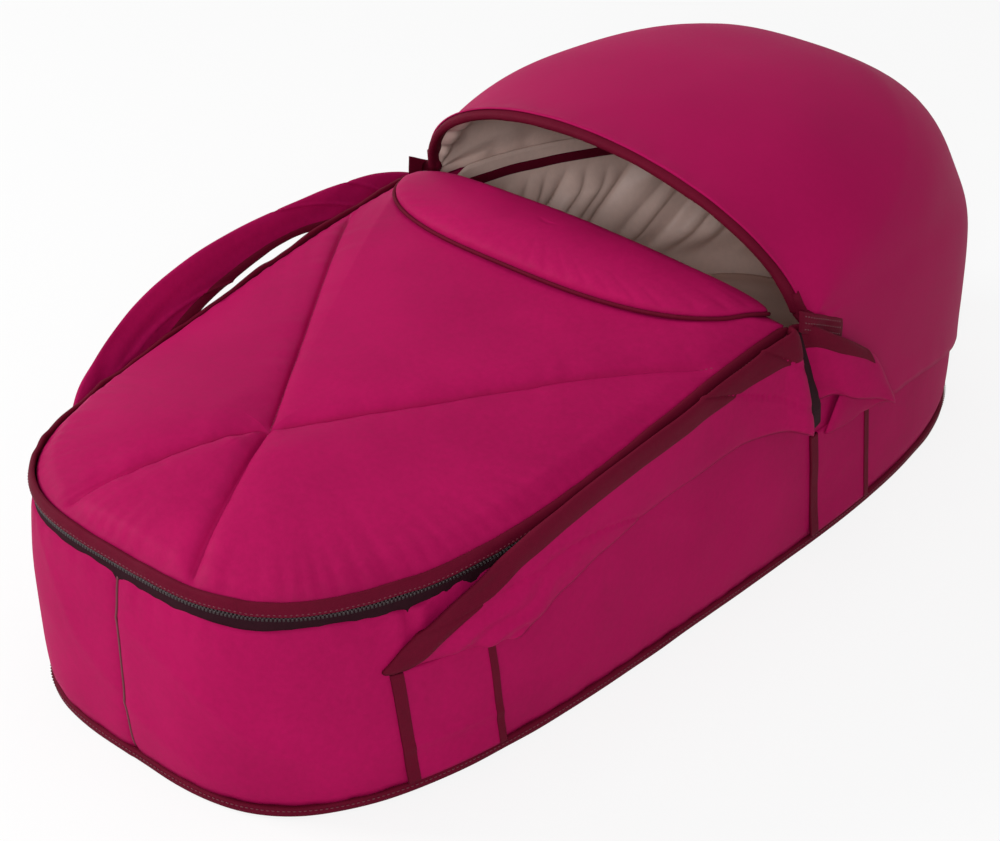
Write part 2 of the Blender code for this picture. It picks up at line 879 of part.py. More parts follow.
# Hood: three nested shells about the pivot line, the front one on the bow
layer_step = HOOD_FABRIC + FIT_GAP + HOOD_LINING + HOOD_CLEARANCE
bow_turn = math.pi / 2 + BOW_TILT
hood_high = HOOD_TOP - PIVOT_Z
pivot_point = (0, PIVOT_Y, PIVOT_Z)


def hood_reach(turn):
    """Distance from the pivot line to the hood's top in a direction."""
    turn = max(turn, 0.0)
    if turn >= math.pi / 2:
        return hood_high / math.sin(turn)
    near, far = 0.0, HOOD_BACK + hood_high
    for _ in range(REACH_HALVINGS):
        middle = between(near, far, 0.5)
        back = middle * math.cos(turn) / HOOD_BACK
        up = (middle * math.sin(turn) + PIVOT_Z - HOOD_EQUATOR) / (HOOD_TOP - HOOD_EQUATOR)
        if back**HOOD_PROFILE + up**HOOD_PROFILE < 1:
            near = middle
        else:
            far = middle
    return near


def hood_round(turn):
    return between(2.0, HOOD_FOOT_ROUND, smooth((bow_turn - turn) / bow_turn))


def arch_turns(turn, inset):
    """Where an arch starts and how far it runs, clear of the pivot's eye."""
    reach = hood_reach(turn) - inset
    start = math.asin((EYE_RADIUS / reach) ** (hood_round(turn) / 2))
    return [between(start, math.pi - start, i / ARCH_STEPS) for i in range(ARCH_STEPS + 1)]


def arch_point(turn, along, inset):
    """(x, distance from the pivot line) on the arch in a direction."""
    n = hood_round(turn)
    x = -(HOOD_HALF_WIDTH - inset) * power(math.cos(along), 2 / n)
    reach = (hood_reach(turn) - inset) * power(math.sin(along), 2 / n)
    return x, reach


def hood_point(turn, x, reach):
    return Vector(
        (x, PIVOT_Y + reach * math.cos(turn), PIVOT_Z + reach * math.sin(turn))
    )


def shell_rows(start, end, rows, inset, front_gap=0.0):
    """Rows of points from the front arch to the rear one."""
    made = []
    for r in range(rows + 1):
        row = []
        for along_start in range(ARCH_STEPS + 1):
            turn = between(start, end, r / rows)
            along = arch_turns(turn, inset)[along_start]
            x, reach = arch_point(turn, along, inset)
            if front_gap:
                lead = math.asin(min(front_gap / reach, 1.0))
                turn = between(start - lead, end, r / rows)
            row.append(hood_point(turn, x, reach))
        made.append(row)
    return made


def shell(name, outer, inner, colour, roughness, pivot):
    """Closed sheet between two matching grids, with its quads cut alike so that nested sheets stay apart."""
    bm = bmesh.new()
    rings = [
        [row[j] for row in outer] + [row[j] for row in reversed(inner)]
        for j in range(ARCH_STEPS + 1)
    ]
    loft(bm, rings)
    bmesh.ops.triangulate(bm, faces=bm.faces[:], quad_method="SHORT_EDGE")
    return finish(name, bm, colour, roughness, pivot=pivot)


lining_under = HOOD_FABRIC + FIT_GAP
hoop_outer = BOW_RADIUS + BOW_BORE_GAP + HOOP_BINDING
front_inset = 2 * layer_step
front_gap = hoop_outer + FIT_GAP
for name, start, end, rows, inset, gap in (
    ("hood_front", bow_turn, FRONT_END, 3, front_inset, front_gap),
    ("hood_middle", MIDDLE_START, MIDDLE_END, 4, layer_step, 0.0),
):
    shell(
        name,
        shell_rows(start, end, rows, inset, gap),
        shell_rows(start, end, rows, inset + HOOD_FABRIC, gap),
        CRIMSON,
        0.75,
        pivot_point,
    )
    shell(
        name + "_lining",
        shell_rows(start, end, rows, inset + lining_under, gap),
        shell_rows(start, end, rows, inset + lining_under + HOOD_LINING, gap),
        BEIGE,
        0.6,
        pivot_point,
    )


def body_match(share):
    """Station of the tub's outline that a column of the hood's rear row comes down to."""
    start = run_at(PIVOT_Y + EYE_RADIUS)
    return station(between(OUTLINE_TOTAL - start, start, share))


def hem_height(y):
    drop = smooth((y - PIVOT_Y - EYE_RADIUS) / HEM_DROP_RUN)
    low = between(
        HEM_SIDE,
        HEM_HEAD,
        smooth((y - PIVOT_Y - HEM_DROP_RUN) / (BODY_LENGTH / 2 - PIVOT_Y - HEM_DROP_RUN)),
    )
    return between(HEM_PIVOT, low, drop)


def fall_rows(inset, shares, target_inset, target_height):
    """Rows that flare out over the tub's rim (shares to 1) and drop on to the line of target_height."""
    top = shell_rows(0, 0, 1, inset)[0]
    made = []
    for share in shares:
        row = []
        for j, p in enumerate(top):
            where = body_match(j / ARCH_STEPS)
            y = where[0].y
            goal = place(where, target_inset, target_height(y))
            settle = max(rim_height(y) + SETTLE_LIFT, goal.z) if len(shares) > 2 else goal.z
            flare = 1 - (1 - min(share, 1.0)) ** 2
            flat = p.to_2d().lerp(goal.to_2d(), flare)
            z = between(p.z, settle, share) if share < 1 else between(settle, goal.z, share - 1)
            row.append(Vector((flat.x, flat.y, z)))
        made.append(row)
    return made


skirt_inset = -(WALL_BULGE + SKIRT_GAP)
dome_rows = 7
shell(
    "hood_rear",
    shell_rows(REAR_START, 0, dome_rows, 0)
    + fall_rows(0, FALL_SHARES, skirt_inset - HOOD_FABRIC, hem_height),
    shell_rows(REAR_START, 0, dome_rows, HOOD_FABRIC)
    + fall_rows(HOOD_FABRIC, FALL_SHARES, skirt_inset, hem_height),
    CRIMSON,
    0.75,
    pivot_point,
)
roll_high = HOOD_LINING
shell(
    "hood_rear_lining",
    shell_rows(REAR_START, 0, dome_rows, lining_under)
    + fall_rows(lining_under, LINING_FALL_SHARES, 0, lambda y: rim_height(y) + roll_high),
    shell_rows(REAR_START, 0, dome_rows, lining_under + HOOD_LINING)
    + fall_rows(
        lining_under + HOOD_LINING,
        LINING_FALL_SHARES,
        HOOD_LINING,
        lambda y: rim_height(y) + roll_high,
    ),
    BEIGE,
    0.6,
    pivot_point,
)

# Bow: a bent rod whose ends turn out into the pockets
bow_inset = front_inset + hoop_outer
bow_half = HOOD_HALF_WIDTH - bow_inset
bow_reach = hood_reach(bow_turn) - bow_inset
pocket_in = BODY_WIDTH / 2 + FIT_GAP
pin_end = pocket_in + POCKET_BORE_DEPTH - FIT_GAP


def bow_path(start_reach, steps):
    start = math.asin(start_reach / bow_reach)
    points = []
    for i in range(steps + 1):
        turn = between(start, math.pi - start, i / steps)
        points.append(Vector((-bow_half * math.cos(turn), bow_reach * math.sin(turn))))
    return points


def bow_world(x, reach):
    return hood_point(bow_turn, x, reach)


def tube_rings(path, radius, sides):
    """Rings round a path that lies in the bow's plane, given as (x, reach)."""
    rings = []
    normal = Vector((0, -math.sin(bow_turn), math.cos(bow_turn)))
    for i, p in enumerate(path):
        a, b = path[max(i - 1, 0)], path[min(i + 1, len(path) - 1)]
        along = (b - a).normalized()
        side2 = Vector((along.y, -along.x))
        side = Vector(
            (side2.x, side2.y * math.cos(bow_turn), side2.y * math.sin(bow_turn))
        )
        centre = bow_world(p.x, p.y)
        ring = []
        for k in range(sides):
            turn = 2 * math.pi * k / sides
            ring.append(
                centre + side * radius * math.cos(turn) + normal * radius * math.sin(turn)
            )
        rings.append(ring)
    return rings


def make_bow():
    sleeve = bow_path(BOW_BEND + hoop_outer, ARCH_STEPS)
    ends = bow_path(BOW_BEND, 1)
    arch = [ends[0]] + sleeve + [ends[1]]
    bend_steps = 3
    corner = []
    for i in range(bend_steps):
        turn = math.pi / 2 * i / bend_steps
        x = arch[0].x - BOW_BEND * (1 - math.sin(turn))
        corner.append(Vector((x, BOW_BEND * (1 - math.cos(turn)))))
    pin = [Vector((-pin_end, 0))]
    left = pin + corner
    right = [Vector((-p.x, p.y)) for p in reversed(left)]
    bm = bmesh.new()
    loft(bm, tube_rings(left + arch + right, BOW_RADIUS, ROUND_SIDES))
    finish("hood_bow", bm, STEEL, 0.4, 1.0, pivot=pivot_point)
    bm = bmesh.new()
    outer = loft(bm, tube_rings(sleeve, hoop_outer, ROUND_SIDES), cap_ends=False)
    inner = loft(
        bm, tube_rings(sleeve, BOW_RADIUS + BOW_BORE_GAP, ROUND_SIDES), cap_ends=False
    )
    for end in (0, -1):
        for k in range(ROUND_SIDES):
            m = (k + 1) % ROUND_SIDES
            bm.faces.new(
                (outer[end][k], outer[end][m], inner[end][m], inner[end][k])
            )
    finish("hood_hoop_binding", bm, DARK_RED, 0.7, pivot=pivot_point)


make_bow()


# Pockets on the wall that carry the bow's ends
def make_pocket(name, side):
    arc_steps = 10
    outline = [(PIVOT_Y + POCKET_HALF, POCKET_BOTTOM), (PIVOT_Y - POCKET_HALF, POCKET_BOTTOM)]
    for i in range(arc_steps + 1):
        turn = math.pi * (1 - i / arc_steps)
        outline.append(
            (
                PIVOT_Y + POCKET_HALF * math.cos(turn),
                PIVOT_Z + POCKET_HALF * math.sin(turn),
            )
        )

    def clear(z):
        """The wall bulges under the pocket, and the pocket's inner face follows it."""
        share = (z - wall_low) / (rim_height(PIVOT_Y) - wall_low)
        return WALL_BULGE * math.sin(math.pi * share) if share < 1 else 0.0

    x_in = pocket_in
    x_out = pocket_in + POCKET_THICK
    rings = [
        [
            (side * (x + (clear(z) if x == x_in else 0)), y, z)
            for y, z in outline
        ]
        for x in (x_in, x_out)
    ]
    bm = bmesh.new()
    loft(bm, rings)
    pocket = finish(name, bm, DARK_RED, 0.8)
    bore = bmesh.new()
    depth = POCKET_BORE_DEPTH + POCKET_THICK
    bmesh.ops.create_cone(
        bore,
        cap_ends=True,
        segments=2 * ROUND_SIDES,
        radius1=BOW_RADIUS + BOW_BORE_GAP,
        radius2=BOW_RADIUS + BOW_BORE_GAP,
        depth=depth,
        matrix=Matrix.Rotation(math.pi / 2, 4, "Y"),
    )
    cutter = finish(name + "_bore", bore, STEEL, 0.4)
    cutter.location = (
        side * (pocket_in + POCKET_BORE_DEPTH - depth / 2),
        PIVOT_Y,
        PIVOT_Z,
    )
    cutter.hide_render = True
    cutter.display_type = "WIRE"
    cut = pocket.modifiers.new("bore", "BOOLEAN")
    cut.operation = "DIFFERENCE"
    cut.object = cutter


make_pocket("bow_pocket_right", 1)
make_pocket("bow_pocket_left", -1)

# Dark roll on the tub's rim inside the hood
roll_start = run_at(PIVOT_Y + EYE_RADIUS)
sweep(
    "rim_roll",
    stations(roll_start, OUTLINE_TOTAL - roll_start),
    circle_section(
        RIM_ROLL_INSET,
        lambda y: rim_height(y) - FOAM_DROP + FIT_GAP + RIM_ROLL_RADIUS,
        RIM_ROLL_RADIUS,
        ROUND_SIDES,
    ),
    DARK_RED,
    0.7,
)


# Bands sewn down the wall, which carry the straps
def band_run(y, z):
    """Distance along the outline of a band's edge: the bands lean back a little as they rise."""
    return run_at(y) - BAND_LEAN * (z - BAND_BOTTOM) / (BAND_TOP - BAND_BOTTOM)


def wall_swell(y, z):
    share = (z - wall_low) / (rim_height(y) - wall_low)
    return WALL_BULGE * math.sin(math.pi * min(max(share, 0), 1))


def make_band(name, y_mid, side):
    rings = []
    for i in range(BAND_COLUMNS + 1):
        ring = []
        across = between(-BAND_HALF, BAND_HALF, i / BAND_COLUMNS)
        for layer in (0, 1):
            for r in range(BAND_ROWS + 1):
                up = (r if layer else BAND_ROWS - r) / BAND_ROWS
                z = between(BAND_BOTTOM, BAND_TOP, up)
                run = band_run(y_mid, z) + across
                where = station(run)
                out = wall_swell(where[0].y, z) + 2 * FIT_GAP + BAND_THICK * layer
                p = place(where, -out, z)
                ring.append((side * p.x, p.y, p.z))
        rings.append(ring)
    bm = bmesh.new()
    loft(bm, rings)
    finish(name, bm, CRIMSON, 0.75)


for side_name, side in (("right", 1), ("left", -1)):
    make_band("band_foot_" + side_name, STRAP_FOOT_Y + BAND_LEAN, side)
    make_band("band_head_" + side_name, STRAP_HEAD_Y + BAND_LEAN, side)


# Carrying straps: flat padded ribbons from the foot band up along the rim and down to the head band
def strap_line(peak, count):
    """(y, z) along the strap's middle, from the foot end to the head end."""
    low = BAND_TOP + FIT_GAP
    rise = peak - low
    points = []
    for i in range(count + 1):
        share = i / count
        along = between(STRAP_FOOT_Y, STRAP_PEAK_Y, share)
        points.append(Vector((along, low + rise * (1 - (1 - share) ** STRAP_FOOT_POWER))))
    for i in range(1, count + 1):
        turn = math.pi / 2 * i / count
        out = math.sin(turn) ** (2 / STRAP_HEAD_ROUND)
        down = 1 - abs(math.cos(turn)) ** (2 / STRAP_HEAD_ROUND)
        along = between(STRAP_PEAK_Y, STRAP_HEAD_Y, out)
        points.append(Vector((along, between(peak, low, down))))
    return points


def strap_axis_point(y, side):
    """Where the strap bends over at its band: clear of the band's outer face, at its top."""
    reach = max(side_x(y - STRAP_HALF), side_x(y + STRAP_HALF))
    x = reach + WALL_BULGE + 2 * FIT_GAP + STRAP_THICK
    return (side * x, y, BAND_TOP + FIT_GAP)


def make_strap(name, side, lean, peak):
    dense = strap_line(peak, OUTLINE_STEPS // 4)
    runs = [0.0]
    for a, b in zip(dense, dense[1:]):
        runs.append(runs[-1] + (b - a).length)
    rings = []
    for i in range(STRAP_STEPS + 1):
        share = i / STRAP_STEPS
        j = min(max(bisect.bisect_left(runs, runs[-1] * share), 1), len(dense) - 2)
        p = dense[0] if i == 0 else dense[-1] if i == STRAP_STEPS else dense[j]
        along = (dense[j + 1] - dense[j - 1]).normalized()
        if i == STRAP_STEPS:
            along = Vector((0, -1))
        across = Vector((-along.y, along.x)) * STRAP_HALF
        foot_cut = Vector((-BAND_HALF, 0))
        across = foot_cut.lerp(across, smooth(share / STRAP_SLANT_SHARE))
        out = WALL_BULGE + 2 * FIT_GAP + STRAP_STANDOFF * math.sin(math.pi * share) ** 0.25
        ring = []
        for width, layer in ((-1, 0), (-1, 1), (0, 1), (1, 1), (1, 0), (0, 0)):
            flat = p + across * width
            z = max(flat.y, BAND_TOP + FIT_GAP)
            where = station(run_at(flat.x))
            crown = STRAP_THICK if width == 0 else STRAP_THICK * STRAP_EDGE_SHARE
            q = place(where, -(out + (crown if layer else 0)), z)
            ring.append((side * q.x, q.y, q.z))
        rings.append(ring)
    bm = bmesh.new()
    loft(bm, rings)
    axis_foot = Vector(strap_axis_point(STRAP_FOOT_Y, side))
    axis_head = Vector(strap_axis_point(STRAP_HEAD_Y, side))
    pivot = axis_foot.lerp(axis_head, 0.5)
    strap = finish(name, bm, CRIMSON, 0.75, pivot=pivot)
    turn = Matrix.Rotation(side * lean, 4, (axis_head - axis_foot).normalized())
    strap.matrix_world = Matrix.Translation(pivot) @ turn


make_strap("strap_right", 1, 0.0, STRAP_RIGHT_PEAK)
make_strap("strap_left", -1, STRAP_LEFT_LEAN, STRAP_LEFT_PEAK)
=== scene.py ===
import math

import bmesh
import bpy
import numpy as np
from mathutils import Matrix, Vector


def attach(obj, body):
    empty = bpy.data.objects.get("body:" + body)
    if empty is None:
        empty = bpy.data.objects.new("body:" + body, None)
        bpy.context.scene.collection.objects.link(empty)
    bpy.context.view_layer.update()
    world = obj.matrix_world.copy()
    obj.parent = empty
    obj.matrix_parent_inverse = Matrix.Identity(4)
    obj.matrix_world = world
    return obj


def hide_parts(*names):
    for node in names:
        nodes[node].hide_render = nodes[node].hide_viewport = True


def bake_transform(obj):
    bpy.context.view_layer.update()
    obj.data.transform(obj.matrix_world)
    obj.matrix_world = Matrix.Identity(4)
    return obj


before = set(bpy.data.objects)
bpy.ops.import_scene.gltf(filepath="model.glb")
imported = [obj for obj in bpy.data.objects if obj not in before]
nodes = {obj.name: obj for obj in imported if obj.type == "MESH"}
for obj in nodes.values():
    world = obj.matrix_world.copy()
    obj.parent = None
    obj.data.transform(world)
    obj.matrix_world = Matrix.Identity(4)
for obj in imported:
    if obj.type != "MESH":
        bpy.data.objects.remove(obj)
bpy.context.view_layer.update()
PI = math.pi

# Sizes shared with the solids, in metres
LENGTH, WIDTH = 0.8, 0.36
FOOT_ROUND, HEAD_ROUND = 3.5, 3.2
FOOT_RIM, PIVOT_RIM, HEAD_RIM = 0.149, 0.19, 0.154
RISE_START_Y, PIVOT_Y, PIVOT_Z = -0.3, 0.072, 0.199
COVER_HEAD_Y, COVER_LIFT = 0.0496, 0.01
QUILT_Y, QUILT_HEAD_SEAM_Y, QUILT_FOOT_SEAM_X = -0.2672, -0.0168, 0.062
FLAP_HALF, FLAP_DEPTH, FLAP_ROUND = 0.164, 0.094, 2.5
HOOD_TOP, HOOD_BACK, HOOD_HALF, HOOD_PROFILE = 0.3075, 0.324, 0.1832, 2.8
HOOD_EQUATOR, HOOD_FOOT_ROUND = 0.1665, 2.5
BOW_TURN = PI / 2 + math.radians(19.3)
EYE, CLOTH_EYE = 0.018, 0.0038
SIDES = (("right", 1), ("left", -1))
BAND_TOP, BAND_HALF = 0.1, 0.037


# Small numeric helpers
def smooth(t):
    t = np.clip(t, 0.0, 1.0)
    return t * t * (3.0 - 2.0 * t)


def mix(a, b, t):
    return a + (b - a) * t


def power(value, exponent):
    return np.sign(value) * np.abs(value) ** exponent


CELLS = 97
LATTICE = np.random.default_rng(11).uniform(-1.0, 1.0, (CELLS, CELLS))


def noise(u, v=0.0, seed=0):
    """Smooth noise from -1 to 1 whose bumps are about one unit across."""
    u = np.asarray(u, float) + 13.7 * seed
    v = np.asarray(v, float) + 29.3 * seed
    i, j = np.floor(u).astype(int), np.floor(v).astype(int)
    s, t = smooth(u - i), smooth(v - j)
    i, j, right, above = i % CELLS, j % CELLS, (i + 1) % CELLS, (j + 1) % CELLS
    near = mix(LATTICE[i, j], LATTICE[right, j], s)
    return mix(near, mix(LATTICE[i, above], LATTICE[right, above], s), t)


def gathers(u, seed=0):
    """Irregular row of puckers from 0 to 1 with narrow valleys."""
    shift = 0.45 * noise(u * 0.37, seed=seed + 3)
    wave = 0.5 + 0.5 * np.cos(2 * PI * (u + shift))
    return (1 - wave**2.2) * (0.62 + 0.38 * noise(u * 0.8, seed=seed + 5))


def fade(away, reach):
    """One up to an edge, falling off with the distance away from it."""
    return np.exp(-np.maximum(away, 0) / reach)


def puckers(along, pitch, seed, away, reach, start):
    """Puckers that start just off a seam and fade with the distance away from it."""
    return (gathers(along / pitch, seed) - 0.45) * fade(away, reach) * (1 - fade(away, start))


def unit(vectors):
    return vectors / np.maximum(np.linalg.norm(vectors, axis=-1, keepdims=True), 1e-12)


def travelled(points, axis=0):
    """Distance run along an axis of points, from 0."""
    start = np.take(points, [0], axis)
    return np.cumsum(np.linalg.norm(np.diff(points, axis=axis, prepend=start), axis=-1), axis=axis)


def section(sides, squareness=1.0):
    """Rows of across and up round a bar's section, round at 1 and squarer below."""
    turn = np.linspace(0, 2 * PI, sides, endpoint=False)
    return power(np.cos(turn), squareness)[None, :], power(np.sin(turn), squareness)[None, :]


# Plan outline of the tub as a table along its run, from the foot's middle towards +X
TURNS = np.linspace(0, 2 * PI, 2881)


def outline_table():
    c, s = np.sin(TURNS), -np.cos(TURNS)
    n = np.where(s < 0, FOOT_ROUND, HEAD_ROUND)
    x, y = WIDTH / 2 * power(c, 2 / n), LENGTH / 2 * power(s, 2 / n)
    nx = power(x / (WIDTH / 2), n - 1) / (WIDTH / 2)
    ny = power(y / (LENGTH / 2), n - 1) / (LENGTH / 2)
    size = np.hypot(nx, ny)
    run = np.concatenate([[0.0], np.cumsum(np.hypot(np.diff(x), np.diff(y)))])
    return run, x, y, nx / size, ny / size


RUN, OX, OY, NX, NY = outline_table()
TOTAL = RUN[-1]
HALF_COUNT = len(TURNS) // 2 + 1


def station(run):
    """Point (x, y) and outward normal at a run, each an array of pairs."""
    run = np.asarray(run, float) % TOTAL
    point = np.stack([np.interp(run, RUN, OX), np.interp(run, RUN, OY)], -1)
    normal = np.stack([np.interp(run, RUN, NX), np.interp(run, RUN, NY)], -1)
    return point, unit(normal)


def run_at(y):
    return np.interp(y, OY[:HALF_COUNT], RUN[:HALF_COUNT])


def side_x(y):
    return np.interp(y, OY[:HALF_COUNT], OX[:HALF_COUNT])


def rim(y):
    up = mix(FOOT_RIM, PIVOT_RIM, smooth((y - RISE_START_Y) / (PIVOT_Y - RISE_START_Y)))
    down = mix(PIVOT_RIM, HEAD_RIM, smooth((y - PIVOT_Y) / (LENGTH / 2 - PIVOT_Y)))
    return np.where(y < PIVOT_Y, up, down)


def place(run, out, z):
    """Points at a run, pushed out from the outline and raised to z."""
    point, normal = station(run)
    run, out, z = np.broadcast_arrays(run, out, z)
    flat = point + normal * out[..., None]
    return np.concatenate([flat, z[..., None]], -1)



def y_at(run):
    return station(run)[0][..., 1]


def outward(run):
    return place(run, 1, 0.0) - place(run, 0, 0.0)


# Mesh building
def settle_normals(bm, mesh):
    bmesh.ops.recalc_face_normals(bm, faces=bm.faces[:])
    bm.to_mesh(mesh)
    bm.free()


def build(name, verts, faces, material, corners=None):
    """Makes a smooth-shaded object; corners is one (u, v) for each face corner, in metres."""
    mesh = bpy.data.meshes.new(name)
    mesh.from_pydata([tuple(v) for v in np.asarray(verts)], [], faces)
    if corners is None:
        corners = np.asarray(verts)[[v for f in faces for v in f]][:, :2]
    layer = mesh.uv_layers.new(name="UVMap")
    layer.data.foreach_set("uv", np.asarray(corners, np.float32).ravel())
    bm = bmesh.new()
    bm.from_mesh(mesh)
    settle_normals(bm, mesh)
    mesh.polygons.foreach_set("use_smooth", [True] * len(mesh.polygons))
    mesh.materials.append(material)
    obj = bpy.data.objects.new(name, mesh)
    bpy.context.scene.collection.objects.link(obj)
    return obj


def lengths(points, axis, wrap):
    """Mean distance run along an axis of a grid, and over its seam where it wraps."""
    step = np.linalg.norm(np.roll(points, -1, axis) - points, axis=-1).mean(1 - axis)
    return np.concatenate([[0.0], np.cumsum(step if wrap else step[:-1])])


def grid(name, points, material, wrap_rows=False, wrap_cols=False, caps=False):
    """Skin over points[row, column]; caps close the first and last rows of a tube."""
    rows, cols = points.shape[:2]
    v_at, u_at = lengths(points, 0, wrap_rows), lengths(points, 1, wrap_cols)
    faces, corners = [], []
    for r in range(rows if wrap_rows else rows - 1):
        below, above = r * cols, ((r + 1) % rows) * cols
        for c in range(cols if wrap_cols else cols - 1):
            d = (c + 1) % cols
            faces.append((below + c, below + d, above + d, above + c))
            u, w, v, t = u_at[c], u_at[c + 1], v_at[r], v_at[r + 1]
            corners += [(u, v), (w, v), (w, t), (u, t)]
    if caps:
        for start in (0, (rows - 1) * cols):
            faces.append(tuple(range(start, start + cols)))
            corners += [(u_at[c], v_at[-1 if start else 0]) for c in range(cols)]
    return build(name, points.reshape(-1, 3), faces, material, corners)


def bar(name, points, material):
    """Tube from rings of points, closed at both ends."""
    return grid(name, points, material, wrap_cols=True, caps=True)


def normals_of(points):
    return unit(np.cross(np.gradient(points, axis=1), np.gradient(points, axis=0)))


def shell(name, outer, thick, material, away):
    """Sheet of some thickness under points[row, column]; away is a point on its hollow side."""
    side = normals_of(outer)
    rows, cols = outer.shape[:2]
    middle = rows // 2, cols // 2
    if np.dot(side[middle], outer[middle] - np.array(away)) < 0:
        side = -side
    inner = outer - side * thick
    made = grid(name, np.concatenate([outer, inner[::-1]]), material, wrap_rows=True)
    bm = bmesh.new()
    bm.from_mesh(made.data)
    bm.verts.ensure_lookup_table()
    for c in (0, cols - 1):
        for r in range(rows - 1):
            quad = [row * cols + c for row in (r, r + 1, 2 * rows - 2 - r, 2 * rows - 1 - r)]
            bm.faces.new([bm.verts[i] for i in quad]).smooth = True
    settle_normals(bm, made.data)
    return made


def pad(name, rings, up, down, material):
    """Closed pad from rings, topmost first; up and down are the centre points of its two faces."""
    count = len(rings[0])
    verts = np.concatenate(list(rings) + [[up], [down]])
    last, top = (len(rings) - 1) * count, len(verts) - 2
    faces = []
    for start in range(0, last, count):
        for c in range(count):
            d = (c + 1) % count
            faces.append((start + c, start + count + c, start + count + d, start + d))
    for c in range(count):
        d = (c + 1) % count
        faces.append((c, d, top))
        faces.append((last + d, last + c, top + 1))
    return build(name, verts, faces, material)


def tube(name, path, radii, material, up=(0, 0, 1), sides=12, squareness=1.0):
    """Rounded bar along a path: radii are half its width and half its height, the height along up."""
    path = np.asarray(path, float)
    along = unit(np.gradient(path, axis=0))
    side = unit(np.cross(along, np.broadcast_to(np.asarray(up, float), path.shape)))
    top = np.cross(side, along)
    across, high = section(sides, squareness)
    wide = across[..., None] * np.asarray(radii[0]).reshape(-1, 1, 1)
    tall = high[..., None] * np.asarray(radii[1]).reshape(-1, 1, 1)
    points = path[:, None] + side[:, None] * wide + top[:, None] * tall
    return bar(name, points, material)


def stitches(name, path, normal, material, pitch=0.0034, size=0.0023, thick=0.00042):
    """Row of thread stitches lying on a path."""
    path, normal = np.asarray(path, float), np.asarray(normal, float)
    run = travelled(path)
    at = np.arange(pitch / 2, run[-1] - pitch / 2, pitch)

    def along(values, where):
        return np.stack([np.interp(where, run, values[:, k]) for k in range(3)], -1)

    centre, up = along(path, at), unit(along(normal, at))
    way = unit(along(path, at + size / 2) - along(path, at - size / 2))
    side = np.cross(way, up)
    verts, faces = [], []
    for p, w, s, u in zip(centre, way, side, up):
        base = len(verts)
        for share, fat in ((-1.0, 0.25), (-0.5, 1.0), (0.5, 1.0), (1.0, 0.25)):
            mid = p + w * size / 2 * share + u * thick * (0.25 if abs(share) < 1 else -0.4)
            for a, b in ((1, 0), (0, 1), (-1, 0), (0, -1)):
                verts.append(mid + (s * a * 1.2 + u * b) * thick * fat)
        for start in (base, base + 4, base + 8):
            for c in range(4):
                d = (c + 1) % 4
                faces.append((start + c, start + d, start + 4 + d, start + 4 + c))
        faces.append((base, base + 1, base + 2, base + 3))
        faces.append((base + 12, base + 13, base + 14, base + 15))
    return build(name, verts, faces, material)


def dress(piece, slot, body, *stands_for):
    """Takes a piece's colour slot, which is not used, the body that it rides and the solids that it
    replaces.
    """
    if stands_for:
        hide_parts(*stands_for)
    if body:
        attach(piece, body)


# Materials
def add(tree, kind, **values):
    """New node; values that start with set_ are its settings, the others its sockets."""
    made = tree.nodes.new(kind)
    for key, value in values.items():
        if key.startswith("set_"):
            setattr(made, key[4:], value)
        else:
            made.inputs[key.replace("_", " ")].default_value = value
    return made


def mottle(tree, vector, **values):
    made = add(tree, "ShaderNodeTexNoise", **values)
    tree.links.new(vector, made.inputs["Vector"])
    return made.outputs["Fac"]


def spread(tree, factor, low, high):
    made = add(tree, "ShaderNodeMapRange", To_Min=low, To_Max=high)
    tree.links.new(factor, made.inputs["Value"])
    return made.outputs["Result"]


def relief(tree, height, strength, distance, over=None):
    made = add(tree, "ShaderNodeBump", Strength=strength, Distance=distance)
    tree.links.new(height, made.inputs["Height"])
    if over:
        tree.links.new(over, made.inputs["Normal"])
    return made.outputs["Normal"]


def shade(colour, amount):
    return tuple(min(max(c * amount, 0.0), 1.0) for c in colour[:3]) + (1.0,)


def two_shades(tree, factor, colour, vary, start=0.3, end=0.7):
    ramp = tree.nodes.new("ShaderNodeValToRGB")
    low, high = ramp.color_ramp.elements
    low.position, high.position = start, end
    low.color, high.color = shade(colour, 1 - vary), shade(colour, 1 + vary)
    tree.links.new(factor, ramp.inputs["Fac"])
    return ramp.outputs["Color"]


def new_material(name):
    made = bpy.data.materials.new(name)
    made.use_nodes = True
    return made, made.node_tree, made.node_tree.nodes["Principled BSDF"]


